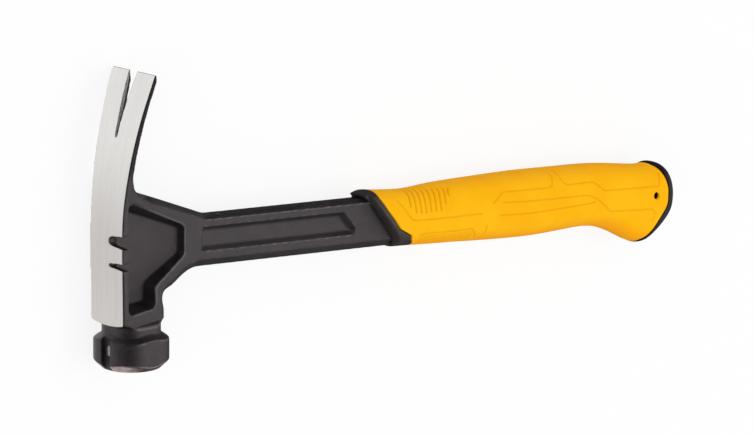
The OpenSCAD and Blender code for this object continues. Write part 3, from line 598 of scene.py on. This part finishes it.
def magnet_material():
    """Plated metal, scuffed by nail heads."""
    mat, n = new_material("magnet")
    p = head_position(n)[0]
    smear = n.noise(n.stretched(p, MAGNET_STRETCH), *MAGNET_SMEAR)
    scuff = n.noise(p, *MAGNET_SCUFF)
    colour = n.mix(n.ramp(scuff, *MAGNET_TONE), MAGNET_DARK, MAGNET_LIGHT)
    set_surface(n, {"Base Color": colour, "Metallic": 1.0, "Roughness": n.ramp(smear, *MAGNET_ROUGH),
                    "Normal": n.bump(scuff, *MAGNET_BUMP)})
    return mat


# Steel: the CAD forging, with its edges softened and its outline corrected
STEEL_VOXEL = 0.5
# Place along the handle behind which hidden pieces stay as in the CAD, and how far before it softening stops
CUT_AT, SOFT_BEFORE = 181.0, 1.5
# High on the head, what lies in front of this is claws
CLAWS_U = 12.0
# Inner face of the strap, and what lies behind it
STRAP_IN, BEHIND_STRAP = -STRAP_OFF + STRAP_T, -11.0
# Where the back's width is measured on the CAD, a hair off its vertices, and how deep the back counts
BACK_FROM, BACK_TO, BACK_STEP, BACK_LAYER = 23.0, 145.4, 0.8, 0.4
HAIR = 0.01
# The CAD's cone under strap and cheek: its radius, its slope, and the heights between which it is undone
CONE_R, CONE_SLOPE, CONE_V, CONE_ABOVE = 13.8, 0.3, (25.5, 33.0), 21.5
# Cheek above the neck: its taper towards the shank, and the heights that the neck's block reaches
CHEEK_TAPER, BLOCK_ABOVE, BLOCK_BELOW = 0.131, 22.9, 27.5
# Rear corner of the cheek: how far it comes out, and where
REAR_OUT, REAR_U, REAR_V, REAR_ABOVE = 1.0, (9.0, 14.0), (27.0, 33.0), 22.6
# Root of the claws: how far and which way it comes out, its place, its spread and its depth below the back
ROOT_OUT, ROOT_WAY, ROOT_AT, ROOT_SPREAD, ROOT_DEPTH = 2.0, (0.6, 0.8), (STRAP_IN, 92.4), 14.0, (1.5, 3.5)
# Lower edge of cheek and shank: its places and heights, how far it is let down, and where that fades out
LOW_EDGE = (15.0, 35.6, 200.0), (36.2, 45.6, 34.1)
LET_DOWN = (15.0, 22.0, 30.0, 40.0), (0.0, 1.4, 1.4, 0.9)
LET_DOWN_ABOVE, LET_DOWN_BEHIND = (1.0, 8.0), (168.0, 177.0)
# Nail slot: how far its end moves aside, the change towards each tip, where the move fades out, how much
# wider the far tip gets, and where the slot is drawn deeper
ASIDE_AT_END, NEAR_CLAW, FAR_CLAW = 1.0, 1.0, -0.4
ASIDE_W, ASIDE_V, FAR_TIP_OUT = (5.0, 11.5), (105.0, 114.0), 1.2
DEEPER_W, DEEPER_V = (1.0, 5.0), (2.0, 9.0)
# Softening: its weight and rounds, and lower weights near the back, at the tips and on the face
SOFT, SOFT_ROUNDS = 0.5, 4
BACK_SOFT, BACK_SOFT_DEPTH, TIP_SOFT, TIP_ABOVE, FACE_SOFT, FACE_SOFT_BELOW = 0.1, 1.3, 0.12, 112, 0.2, 5.6
# Fillet at the root of the claws: places and spreads of its spots, its limits and its rounds
FILLET_SPOTS = ((-1.0, 89.0), 60.0), ((-4.5, 87.0), 35.0)
FILLET_BELOW, FILLET_OFF_MIDDLE, FILLET_DEPTH, FILLET_ROUNDS = 101, 5, 2.5, 50
# How far a vertex on a sharp edge stands out, and what lets bare steel reach the far side's edge
EDGE_FULL, FAR_MARGIN = 0.035, BARE_INSET - 0.05


def below_back_mm(p):
    """How far points of the head's frame lie below the ground back of strap and claws."""
    arc = ARC_R - np.hypot(p[:, 0] - ARC_X, p[:, 1] - ARC_Y)
    flat = p[:, 0] + STRAP_OFF - STRAP_LEAN * (ARC_Y - p[:, 1]) / ARC_Y
    return np.where(p[:, 1] > ARC_Y, arc, flat)


def back_of_claws(v):
    """Place of the back along the handle, at heights on the curve of the claws."""
    return ARC_X - np.sqrt(ARC_R ** 2 - (np.clip(v, ARC_Y, HEAD_LEN) - ARC_Y) ** 2)


def half_width_of_back(heights):
    """Half the width of strap and claws at heights on the head, measured on the CAD."""
    a, b = node_edges("forged_body")
    stations, widths = [], []
    for v in np.arange(BACK_FROM, BACK_TO, BACK_STEP):
        cut = sliced(a, b, 1, v + HAIR)
        back = abs(cut[below_back_mm(cut) < BACK_LAYER][:, 2])
        if len(back):
            stations.append(v)
            widths.append(back.max())
    return np.interp(heights, stations, widths)


def spot(p, place, spread):
    """One at a place on the head's side, less round it."""
    return np.exp(-((p[:, 0] - place[0]) ** 2 + (p[:, 1] - place[1]) ** 2) / spread)


def straight_underside(p):
    """The cheek's lower corners, rounded off by the CAD's cone, drawn down to the strap's lower end."""
    u, v, w = p.T
    drop = CONE_SLOPE * np.maximum(np.hypot(u, w) - CONE_R, 0) * fade(v, *CONE_V) * (u > BEHIND_STRAP)
    return points(u, v - np.where(v > CONE_ABOVE, drop, 0), w)


def narrow_cheek(p):
    """Takes the neck's block, which the CAD carries up into the cheek, back to the cheek's own width."""
    u, v, w = p.T
    half = np.clip(STRAP_W / 2 - CHEEK_TAPER * (u - STRAP_IN), SHANK_T / 2, STRAP_W / 2)
    inside = (v > BLOCK_ABOVE) & (v < BLOCK_BELOW) & (u > BEHIND_STRAP)
    return points(u, v, np.where(inside, np.clip(w, -half, half), w))


def fuller_corners(p):
    """The cheek's rear corner and the claws' root drawn out, and the shank's lower edge let down."""
    u, v, w = p.T
    rear = REAR_OUT * smooth_step(u, *REAR_U) * fade(v, *REAR_V) * (v > REAR_ABOVE)
    root = ROOT_OUT * spot(p, ROOT_AT, ROOT_SPREAD) * smooth_step(below_back_mm(p), *ROOT_DEPTH)
    above_edge = v - np.interp(u, *LOW_EDGE)
    drop = np.interp(u, *LET_DOWN) * fade(above_edge, *LET_DOWN_ABOVE) * fade(u, *LET_DOWN_BEHIND)
    return points(u + rear + ROOT_WAY[0] * root, v + ROOT_WAY[1] * root - drop, w)


def slot_aside(p):
    """The nail slot drawn towards the far side and a little deeper, with the far claw's tip wider."""
    u, v, w = p.T
    on_claws = u < CLAWS_U
    t = np.clip((v - SLOT_END) / (HEAD_LEN - SLOT_END), 0, 1)
    inner = fade(abs(w), *ASIDE_W)
    near = (ASIDE_AT_END + NEAR_CLAW * t) * inner
    far = (ASIDE_AT_END + FAR_CLAW * t) * inner + FAR_TIP_OUT * t * t * (1 - inner)
    shift = np.where(w > 0, near, far) * smooth_step(v, *ASIDE_V) * on_claws
    deeper = SLOT_DEEPER * fade(abs(w), *DEEPER_W) * fade(abs(v - SLOT_END), *DEEPER_V) * on_claws
    along_back = back_of_claws(v - deeper) - back_of_claws(v)
    return points(u + along_back, v - deeper, w - shift)


def soften_forging(mesh, p):
    """Rounds the forging's edges off, less where it is ground, and more at the root of the claws."""
    u, v, w = p.T
    depth = below_back_mm(p)
    weights = np.full(len(p), SOFT)
    weights[(depth < BACK_SOFT_DEPTH) & (v > BACK_ABOVE)] = BACK_SOFT
    weights[(v > TIP_ABOVE) & (u < CLAWS_U)] = TIP_SOFT
    weights[v < FACE_SOFT_BELOW] = FACE_SOFT
    weights[head_to_handle(p)[:, 0] > CUT_AT - SOFT_BEFORE] = 0.0
    soften(mesh, weights, SOFT_ROUNDS)
    near_root = (v < FILLET_BELOW) & (abs(w) > FILLET_OFF_MIDDLE) & (depth > FILLET_DEPTH)
    fillet = np.max([spot(p, *each) for each in FILLET_SPOTS], axis=0)
    soften(mesh, SOFT * fillet * near_root, FILLET_ROUNDS)


def build_steel():
    """The forging in front of the sleeve, with what is hidden in the grip joined on as it is."""
    obj = remeshed_copy("forged_body", "forged_steel", STEEL_VOXEL, CUT_AT)
    p = fuller_corners(narrow_cheek(straight_underside(head_points(obj.data))))
    set_points(obj.data, to_world(p))
    soften_forging(obj.data, p)
    edge = edge_field(obj.data, EDGE_FULL)
    p = head_points(obj.data)
    # the ground back keeps a coated margin on the near side and runs right up to its far edge
    inset = half_width_of_back(p[:, 1]) - abs(p[:, 2]) + np.where(p[:, 2] < 0, FAR_MARGIN, 0)
    set_points(obj.data, to_world(slot_aside(p)))
    obj.data.shade_smooth()
    join_rest(obj, "forged_body", CUT_AT)
    rest = np.zeros(len(obj.data.vertices) - len(p))
    add_field(obj.data, "inset_mm", np.concatenate([inset, rest]))
    add_field(obj.data, "edge", np.concatenate([edge, rest]))
    return obj


# Grip: its form is read off the CAD, section by section, and drawn smooth with sections of this power
SECTION_POWER = 2.4
# Where sections are read, from where their bottom and sides are whole, and the stretch that these follow
# in front of that
FORM_FROM, FORM_TO, STATION = 150.0, 365.2, 0.5
LOW_FROM, SIDES_FROM, NEXT_STRETCH = 173.0, 168.0, 12.0
# Over how many stations the form is evened out, and where the CAD's own form takes over at the butt
EVEN_OVER, AS_IN_CAD = 6.0, (338.0, 352.0)


def extended(s, values, valid_from):
    """Values carried on in front of valid_from along the line of the next stretch."""
    near = (s >= valid_from) & (s < valid_from + NEXT_STRETCH)
    slope, base = np.polyfit(s[near], values[near], 1)
    return np.where(s < valid_from, slope * s + base, values)


def evened(values, sigma):
    """Values smoothed by a bell curve, which keeps straight stretches and both ends in place."""
    reach = int(3 * sigma)
    x = np.arange(-reach, reach + 1)
    kernel = np.exp(-x * x / (2 * sigma * sigma))
    padded = np.pad(values, reach, mode="reflect", reflect_type="odd")
    return np.convolve(padded, kernel / kernel.sum(), "valid")


def pulled(v):
    return np.sign(v) * abs(v) ** (2 / SECTION_POWER)


class GripForm:
    """Top, bottom and half thickness of the grip along the handle."""

    def __init__(self):
        a, b = (head_to_handle(p) for p in node_edges("grip_core", "grip_sleeve", "butt_cap"))
        self.s = np.arange(FORM_FROM, FORM_TO, STATION)
        cuts = [sliced(a, b, 0, s + HAIR) for s in self.s]
        top, low, half = np.array([(c[:, 1].max(), c[:, 1].min(), abs(c[:, 2]).max()) for c in cuts]).T
        rows = top, extended(self.s, low, LOW_FROM), extended(self.s, half, SIDES_FROM)
        keep = smooth_step(self.s, *AS_IN_CAD)
        self.top, self.low, self.half = (evened(r, EVEN_OVER) * (1 - keep) + r * keep for r in rows)

    def at(self, s):
        """Height of the middle, half height and half thickness at places along the handle."""
        top, low = np.interp(s, self.s, self.top), np.interp(s, self.s, self.low)
        return (top + low) / 2, (top - low) / 2, np.interp(s, self.s, self.half)

    def point(self, s, angle):
        mid, high, half = self.at(s)
        return mid + high * pulled(np.cos(angle)), half * pulled(np.sin(angle))

    def side(self, s, y):
        """Half thickness of the form at a height y."""
        mid, high, half = self.at(s)
        share = np.clip(1 - (abs(y - mid) / high) ** SECTION_POWER, 0, 1)
        return half * share ** (1 / SECTION_POWER)

    def measure(self, p):
        """One on the form's surface, less inside it."""
        mid, high, half = self.at(p[:, 0])
        return (abs(p[:, 1] - mid) / high) ** SECTION_POWER + (abs(p[:, 2]) / half) ** SECTION_POWER


# Edges of the pieces seen from the side: the heights where they are read, in steps, a hair off vertices
SLEEVE_Y, CORE_Y, CAP_Y = (-13.2, 15.0), (-13.0, 13.0), (-24.8, 14.8)
EDGE_STEP, EDGE_HAIR = 0.2, 0.003
# How far the collar's nose goes back, and from where below the handle's centre line
NOSE_BACK, NOSE_BELOW = 2.6, (8.5, 13.0)


def edge_of(node, low, high):
    """The front edge of a node seen from the side, as heights and places along the handle."""
    a, b = (head_to_handle(p) for p in node_edges(node))
    y = np.arange(low, high, EDGE_STEP)
    return y, np.array([sliced(a, b, 1, k + EDGE_HAIR)[:, 0].min() for k in y])


def nose_back(y):
    """How far the collar's nose and its lower rear edge are drawn back, by the height across the handle."""
    return NOSE_BACK * smooth_step(-y, *NOSE_BELOW)


FORM = GripForm()
CAD_COLLAR_EDGE = edge_of("grip_sleeve", *SLEEVE_Y)
COLLAR_EDGE = (CAD_COLLAR_EDGE[0], CAD_COLLAR_EDGE[1] + nose_back(CAD_COLLAR_EDGE[0]))
CORE_EDGE = edge_of("grip_core", *CORE_Y)
CAP_EDGE = edge_of("butt_cap", *CAP_Y)

# Measure of the form above which a point lies on its surface, and the least that is scaled by
ON_SURFACE, LEAST_MEASURE = (0.95, 0.975), 0.5
# Where the grip starts to lie lower than the CAD's
LOWER_FROM = (141.0, 160.0)


def on_smooth_form(p):
    """Moves points that lie on the CAD's flat-sided form onto the smooth one."""
    m = FORM.measure(p)
    inside = (p[:, 0] > FORM_FROM) & (p[:, 0] < FORM_TO)
    weight = np.where(inside, smooth_step(m, *ON_SURFACE), 0)
    factor = 1 + weight * (np.maximum(m, LEAST_MEASURE) ** (-1 / SECTION_POWER) - 1)
    mid = FORM.at(p[:, 0])[0]
    return points(p[:, 0], mid + (p[:, 1] - mid) * factor, p[:, 2] * factor)


def settled(p):
    """Points along the handle in the world, with the grip a little lower, as the photograph has it."""
    lower = GRIP_LOWER * smooth_step(p[:, 0], *LOWER_FROM)
    return to_world(handle_to_head(p[:, 0], p[:, 1] - lower, p[:, 2]))


# Sleeve: its rows of points and their sides, which lie closest on the flat sides of a section of this size
ROWS, SIDES = 520, 208
SECTION_HALF_H, SECTION_HALF_T, FINE_ANGLES = 16.0, 13.5, 8001
WIDE_SHARE, SIDE_Z = 0.5, (4.0, 8.0)
# Places along the handle where the search for the two edges starts, and its rounds
FIRST_START, LAST_START, SEARCH_ROUNDS = 165.0, 350.0, 60


def even_angles():
    """Angles round a section, close together on the sides and wider along the top and bottom."""
    fine = np.linspace(0, 2 * math.pi, FINE_ANGLES)
    y, z = SECTION_HALF_H * pulled(np.cos(fine)), SECTION_HALF_T * pulled(np.sin(fine))
    step = np.hypot(np.diff(y), np.diff(z))
    dense = WIDE_SHARE + (1 - WIDE_SHARE) * smooth_step(abs(z[1:]), *SIDE_Z)
    length = np.concatenate([[0], np.cumsum(step * dense)])
    return np.interp(np.arange(SIDES) / SIDES * length[-1], length, fine)


def crossing(angle, edge, start):
    """Where a line along the form at each angle meets an edge seen from the side."""
    s = np.full(len(angle), start)
    for _ in range(SEARCH_ROUNDS):
        y = FORM.point(s, angle)[0]
        s = 0.5 * s + 0.5 * np.interp(y, edge[0], edge[1])
    return s


# Lines moulded into both sides of the grip, as places along the handle and across it
GROOVES = [
    [(167, 11.1), (175.2, 1.3), (178, 0.5), (193.9, 0.4), (223, 0.8)],
    [(230.3, 5.4), (237.3, 10.5), (256.2, 10.4), (271.2, 10.3), (273, 11.6), (275.1, 15.2), (274.8, 17.2)],
    [(237.3, 5.3), (255.5, 4.7), (295.8, 4.4), (299.6, 4), (305.1, 2), (311.9, -2.3), (316.7, -5.9),
     (337.5, -6.5), (346, -6.6), (348.5, -8.6), (348.4, -11.4), (346.6, -12.8)],
    [(235, -1.2), (256.2, -1.7), (300.1, -0.2), (304.6, 0.5)],
    [(279.3, 17.4), (280.5, 13.7), (281.2, 12), (283.7, 10.8), (300.2, 10.8), (303.9, 10.3), (311, 5.6),
     (329.6, 5.2), (350.8, 4.9), (352, 7.7), (352.9, 11.4)],
    [(182, -7.6), (185.7, -6.9), (202.7, -7.1), (217.5, -6.9), (219.7, -8.5), (222, -12)],
    [(227.2, -5.9), (227.4, -9.8), (225, -13)]]
GROOVE_HALF_W, GROOVE_D = 0.55, 0.34
# Thumb grooves: their places, upper end, bend and lean, and the lower end of each
THUMB_FROM, THUMB_STEP, THUMB_HIGH, THUMB_BEND, THUMB_LEAN = 175.1, 3.3, 14.4, 8.6, 1.9
THUMB_LOW = [7.6, 4.6, 4.2, 4.1, 4.5, 4.4, 4.4, 7.6, 11.4]
THUMB_LEAST, THUMB_CURVE_SHARE = 1.0, 0.35
THUMB_HALF_W, THUMB_D = 0.7, 0.55
# Short slanted ribs below them
RIB_FROM, RIB_STEP, RIB_COUNT, RIB_LEAN, RIB_LOW, RIB_HIGH = 183.0, 2.6, 14, 2.0, -12.4, -8.3
RIB_HALF_W, RIB_D = 0.7, 0.35
# Distance between points along a line when the distance to it is measured
LINE_STEP = 0.12


def curve_points(corners):
    """Points close together along a line of corners, on both sides of the form."""
    corners = np.array(corners, float)
    run = np.concatenate([[0], np.cumsum(np.hypot(*np.diff(corners, axis=0).T))])
    t = np.arange(0, run[-1], LINE_STEP)
    s, y = np.interp(t, run, corners[:, 0]), np.interp(t, run, corners[:, 1])
    z = FORM.side(s, y)
    return np.concatenate([points(s, y, z), points(s, y, -z)])


def thumb_lines():
    for i, low in enumerate(THUMB_LOW):
        s = THUMB_FROM + THUMB_STEP * i
        bend = max(low + THUMB_LEAST, THUMB_BEND)
        curve = (s + THUMB_CURVE_SHARE * THUMB_LEAN, (bend + THUMB_HIGH) / 2)
        yield [(s, low), (s, bend), curve, (s + THUMB_LEAN, THUMB_HIGH)]


def rib_lines():
    for i in range(RIB_COUNT):
        s = RIB_FROM + RIB_STEP * i
        yield [(s, RIB_LOW), (s + RIB_LEAN, RIB_HIGH)]


def distance_to(p, lines):
    """Distance from each point to the nearest of some lines."""
    near = np.concatenate([curve_points(line) for line in lines])
    tree = KDTree(len(near))
    for i, place in enumerate(near):
        tree.insert(place, i)
    tree.balance()
    return np.array([tree.find(place)[2] for place in p])


def groove_depth(distance, half_width, depth):
    """A rounded groove."""
    return depth * (1 - np.clip(distance / half_width, 0, 1) ** 2) ** 2


def rounded_edge(distance, radius):
    """How far a surface drops at a distance from its rounded edge."""
    t = radius - np.clip(distance, 0, radius)
    return radius - np.sqrt(np.maximum(radius * radius - t * t, 0))


# The hanging hole's drill: its sides and half length
DRILL_SIDES, DRILL_HALF = 64, 20.0


def cut_hole(obj):
    """The hanging hole, cut square through both sides."""
    n = DRILL_SIDES
    turn = np.arange(n) / n * 2 * math.pi
    ring = points(HOLE_AT + HOLE_R * np.cos(turn), HOLE_R * np.sin(turn))
    p = [handle_to_head(s, y - GRIP_LOWER, z) for z in (-DRILL_HALF, DRILL_HALF) for s, y in ring]
    sides = [(i, (i + 1) % n, n + (i + 1) % n, n + i) for i in range(n)]
    ends = [tuple(range(n - 1, -1, -1)), tuple(range(n, 2 * n))]
    drill = new_object("drill", to_world(np.array(p)), sides + ends)
    mod = obj.modifiers.new("hole", "BOOLEAN")
    mod.operation = "DIFFERENCE"
    mod.solver = "MANIFOLD"
    mod.object = drill
    apply_modifiers(obj)
    bpy.data.objects.remove(drill)


# Rounding of the sleeve's edges, along its surface, and of the hanging hole's
EDGE_R, EDGE_ALONG, HOLE_EDGE_R = 0.6, 0.8, 0.9
# Half height and half thickness of the channel for the core
CHANNEL_HALF_H, CHANNEL_HALF_T = 9.8, 6.8
# Painted shade, a deeper colour at the sleeve's lower and upper rim, by the share of its half height
RIM_SHADE_LOW, RIM_SHADE_HIGH, RIM_SHADE_HIGH_SHARE = (0.5, 0.98), (0.6, 0.98), 0.35
# Angle above which an edge of the sleeve stays sharp
SLEEVE_SHARP = math.radians(60)


def outward_normals(skin):
    normal = np.cross(np.gradient(skin, axis=0), np.roll(skin, -1, axis=1) - np.roll(skin, 1, axis=1))
    normal /= np.linalg.norm(normal, axis=-1, keepdims=True)
    off_axis = skin * (0, 1, 1)
    return normal * np.sign((normal * off_axis).sum(-1).mean())


def moulded_grooves(p):
    """Depth of the moulded lines, thumb grooves and ribs at points of the form's surface."""
    kinds = ((GROOVES, GROOVE_HALF_W, GROOVE_D), (thumb_lines(), THUMB_HALF_W, THUMB_D),
             (rib_lines(), RIB_HALF_W, RIB_D))
    return np.max([groove_depth(distance_to(p, lines), half, depth) for lines, half, depth in kinds], axis=0)


def rim_shade_field(p):
    """How near points of the sleeve lie to its lower rim and, to a lesser share, to its upper one, for the
    painted shade there.
    """
    mid, high, _ = FORM.at(p[:, 0])
    across = (p[:, 1] - mid) / high
    return smooth_step(-across, *RIM_SHADE_LOW) + RIM_SHADE_HIGH_SHARE * smooth_step(across, *RIM_SHADE_HIGH)


def tube_faces(rows, sides):
    """Faces between rows of points, of which the last joins the first."""
    faces = []
    for k in range(rows):
        a, b = k * sides, ((k + 1) % rows) * sides
        for i in range(sides):
            j = (i + 1) % sides
            faces.append((a + i, a + j, b + j, b + i))
    return faces


def build_sleeve():
    """The yellow sleeve: a fine skin over the form, a channel for the core, and the moulded lines."""
    angle = even_angles()
    first, last = crossing(angle, COLLAR_EDGE, FIRST_START), crossing(angle, CAP_EDGE, LAST_START)
    f = np.linspace(0, 1, ROWS)[:, None]
    s = first[None, :] * (1 - f) + last[None, :] * f
    y, z = FORM.point(s, np.broadcast_to(angle, s.shape))
    skin = points(s, y, z)
    flat = skin.reshape(-1, 3)
    grooves = moulded_grooves(flat)
    to_hole = np.hypot(flat[:, 0] - HOLE_AT, flat[:, 1]) - HOLE_R
    at_hole = np.where(to_hole < HOLE_EDGE_R, rounded_edge(to_hole, HOLE_EDGE_R), 0)
    at_edge = rounded_edge(np.minimum(s - first, last - s).ravel() * EDGE_ALONG, EDGE_R)
    depth = grooves + at_edge + at_hole
    outer = flat - outward_normals(skin).reshape(-1, 3) * depth[:, None]
    inner_y, inner_z = CHANNEL_HALF_H * np.cos(angle), CHANNEL_HALF_T * np.sin(angle)
    front = points(np.interp(inner_y, *COLLAR_EDGE), inner_y, inner_z)
    back = points(np.interp(inner_y, *CAP_EDGE), inner_y, inner_z)
    p = np.concatenate([outer, back, front])
    obj = new_object("yellow_sleeve", settled(p), tube_faces(ROWS + 2, SIDES))
    inside = np.zeros(2 * SIDES)
    # Depth of the moulded lines, also for the painted shade in them
    add_field(obj.data, "groove", np.concatenate([np.clip(grooves / GROOVE_D, 0, 1), inside]))
    # Nearness to the rim, for the painted shade there
    add_field(obj.data, "rim", np.concatenate([rim_shade_field(flat), inside]))
    with opened(obj.data) as bm:
        bmesh.ops.recalc_face_normals(bm, faces=bm.faces)
    cut_hole(obj)
    obj.data.shade_smooth()
    obj.data.set_sharp_from_angle(angle=SLEEVE_SHARP)
    return obj


# Collar: how far its lip goes back, at what heights and places, and where its rear edge moves too
COLLAR_VOXEL = 0.4
LIP_BACK, LIP_Y, LIP_S = 2.6, (8.0, 11.0), (145.0, 157.0)
REAR_FROM, REAR_TO = (-6.0, -0.5), (0.5, 3.0)
# Its band's full thickness: behind its front edge, before its rear edge, by height and off the middle plane
BAND_BEHIND, BAND_BEFORE = (0.1, 1.6), (-1.6, -0.6)
BAND_LOW, BAND_HIGH, BAND_OUT = (-12.0, -9.0), (6.0, 9.0), (5.7, 7.3)
# Softening: rounds for all of it, and more for the band, this far off the middle plane and between these
# heights. Edges above this angle stay sharp
COLLAR_ROUNDS, BAND_ROUNDS = 8, 18
SMOOTH_OUT, SMOOTH_LOW, SMOOTH_HIGH = 6.5, -10, 13
COLLAR_SHARP = math.radians(50)


def collar_moved_back(p, rear):
    """The lip over the shank drawn back to its blunt end, and the nose with the lower rear edge."""
    s = p[:, 0] + LIP_BACK * smooth_step(p[:, 1], *LIP_Y) * fade(p[:, 0], *LIP_S)
    at_rear = smooth_step(s - rear, *REAR_FROM) * fade(s - rear, *REAR_TO)
    return points(s + nose_back(p[:, 1]) * at_rear, p[:, 1], p[:, 2])


def collar_filled(p, rear):
    """The band at its full thickness almost to its front edge."""
    s, y, z = p.T
    full = smooth_step(s - np.interp(y, *CORE_EDGE), *BAND_BEHIND) * fade(s - rear, *BAND_BEFORE)
    full *= smooth_step(y, *BAND_LOW) * fade(y, *BAND_HIGH) * smooth_step(abs(z), *BAND_OUT)
    return points(s, y, z + full * (np.sign(z) * FORM.side(s, y) - z))


def build_collar():
    """The black collar in front of the sleeve, with the hidden core joined on as it is."""
    obj = remeshed_copy("grip_core", "black_collar", COLLAR_VOXEL, CUT_AT)
    p = on_smooth_form(handle_points(obj.data))
    rear = np.interp(p[:, 1], *CAD_COLLAR_EDGE)
    p = collar_filled(collar_moved_back(p, rear), rear)
    set_points(obj.data, settled(p))
    free = p[:, 0] < CUT_AT - SOFT_BEFORE
    soften(obj.data, SOFT * free, COLLAR_ROUNDS)
    band = free & (abs(p[:, 2]) > SMOOTH_OUT) & (p[:, 1] > SMOOTH_LOW) & (p[:, 1] < SMOOTH_HIGH)
    soften(obj.data, SOFT * band, BAND_ROUNDS)
    obj.data.shade_smooth()
    join_rest(obj, "grip_core", CUT_AT)
    obj.data.set_sharp_from_angle(angle=COLLAR_SHARP)
    return obj


# Butt cap: how far it stands proud of the sleeve, by the form's measure and the distance from its end
CAP_VOXEL, CAP_ROUNDS = 0.45, 7
CAP_PROUD, PROUD_MEASURE, PROUD_FROM_END = 0.35, (0.9, 0.98), (1.0, 5.0)
# Least length that a direction is divided by
TINY = 1e-9


def build_cap():
    """The black butt cap, a little proud of the sleeve and rounded at its edge."""
    obj = remeshed_copy("butt_cap", "black_butt_cap", CAP_VOXEL)
    p = on_smooth_form(handle_points(obj.data))
    mid, high, half = FORM.at(p[:, 0])
    out = points(np.zeros(len(p)), (p[:, 1] - mid) / high ** 2, p[:, 2] / half ** 2)
    out /= np.maximum(np.linalg.norm(out, axis=-1, keepdims=True), TINY)
    proud = CAP_PROUD * smooth_step(FORM.measure(p), *PROUD_MEASURE)
    proud = proud * smooth_step(FORM_TO - p[:, 0], *PROUD_FROM_END)
    set_points(obj.data, settled(p + out * proud[:, None]))
    soften(obj.data, SOFT, CAP_ROUNDS)
    obj.data.shade_smooth()
    return obj


def cover(obj, material):
    obj.data.materials.clear()
    obj.data.materials.append(material)


def dress(obj, node, material):
    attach(obj, "root")
    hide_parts(node)
    cover(obj, material)


dress(build_sleeve(), "grip_sleeve", rubber_material())
dress(build_steel(), "forged_body", steel_material())
# The collar's black is painted lighter as painted light, and the cap's painted darker as painted shade
dress(build_collar(), "grip_core", plastic_material("core_black", *COLLAR_LIT_LOOK))
dress(build_cap(), "butt_cap", plastic_material("cap_black", *CAP_SHADED_LOOK))
cover(NODES["nail_magnet"], magnet_material())


# Studio, in metres. The floor: half width, gap below the hammer, colour, and its glow towards the camera
FLOOR_HALF, FLOOR_GAP = 6.0, 0.0002
FLOOR_WHITE, FLOOR_GLOW = (0.93, 0.93, 0.93, 1), 0.86
WORLD_LIGHT = 0.72
WHITE = (1, 1, 1, 1)
# Side of the studio that shows bright in reflections, and how its brightness runs
BRIGHT_SIDE = (0.67, -0.10, 0.735)
SHOWN_WORLD = (0.40, 0.85, 0.03, 1.0)
# The floor in reflections: bright on the left, dark on the right
SHOWN_FLOOR = (-0.17, -0.12, 0.95, 0.10)
# Lamps: place, size and watts
RIGHT_LAMP = (0.45, -0.05, 1.25), 0.8, 4.8
LEFT_LAMP = (-1.15, 0.0, 0.6), 0.7, 3.0


def seen_rays(n):
    """One for rays straight from the camera, and one for those reflected or let through."""
    rays = n.add("ShaderNodeLightPath").outputs
    return rays["Is Camera Ray"], n.larger(rays["Is Glossy Ray"], rays["Is Transmission Ray"])


def floor_material():
    """White floor that keeps the hammer's shadow, and shows bright or dark in reflections."""
    mat, n = new_material("studio_white")
    diffuse = n.add("ShaderNodeBsdfDiffuse", {"Color": FLOOR_WHITE}).outputs[0]
    glow = n.add("ShaderNodeEmission", {"Color": WHITE, "Strength": 1.0}).outputs[0]
    straight, glossy = seen_rays(n)
    share = n.times(straight, FLOOR_GLOW)
    lit = n.add("ShaderNodeMixShader", {0: share, 1: diffuse, 2: glow}).outputs[0]
    along = n.split(n.position())[0]
    shown = n.add("ShaderNodeEmission", {"Strength": n.ramp(along, *SHOWN_FLOOR)}).outputs[0]
    mixed = n.add("ShaderNodeMixShader", {0: glossy, 1: lit, 2: shown}).outputs[0]
    n.add("ShaderNodeOutputMaterial", {"Surface": mixed})
    return mat


def build_floor():
    h = FLOOR_HALF
    floor = new_object("floor", [(-h, -h, 0), (h, -h, 0), (h, h, 0), (-h, h, 0)], [(0, 1, 2, 3)])
    floor.location.z = CAD_BOX[0][2] - FLOOR_GAP
    cover(floor, floor_material())


def build_world():
    """White to the camera, and in reflections a studio that is bright on one side."""
    world = bpy.data.worlds.new("studio")
    n = empty_nodes(world)
    straight, glossy = seen_rays(n)
    toward = n.vector_math("DOT_PRODUCT", n.position("Generated"), BRIGHT_SIDE).outputs["Value"]
    shown = n.ramp(toward, *SHOWN_WORLD)
    rest = n.minus(1.0, n.larger(straight, glossy))
    strength = n.plus(n.plus(straight, n.times(glossy, shown)), n.times(rest, WORLD_LIGHT))
    glow = n.add("ShaderNodeBackground", {"Color": WHITE, "Strength": strength}).outputs[0]
    n.add("ShaderNodeOutputWorld", {"Surface": glow})
    bpy.context.scene.world = world


def add_lamp(name, place, size, watts):
    """A round soft lamp that shines at the middle of the hammer."""
    data = bpy.data.lights.new(name, "AREA")
    data.shape = "DISK"
    data.size = size
    data.energy = watts
    lamp = add_object(name, data)
    lamp.location = place
    lamp.rotation_euler = (-Vector(place)).to_track_quat("-Z", "Y").to_euler()
    return lamp


build_floor()
build_world()
add_lamp("right", *RIGHT_LAMP)
add_lamp("left", *LEFT_LAMP).visible_glossy = False
bpy.context.scene.view_settings.view_transform = "Standard"

bpy.context.view_layer.update()
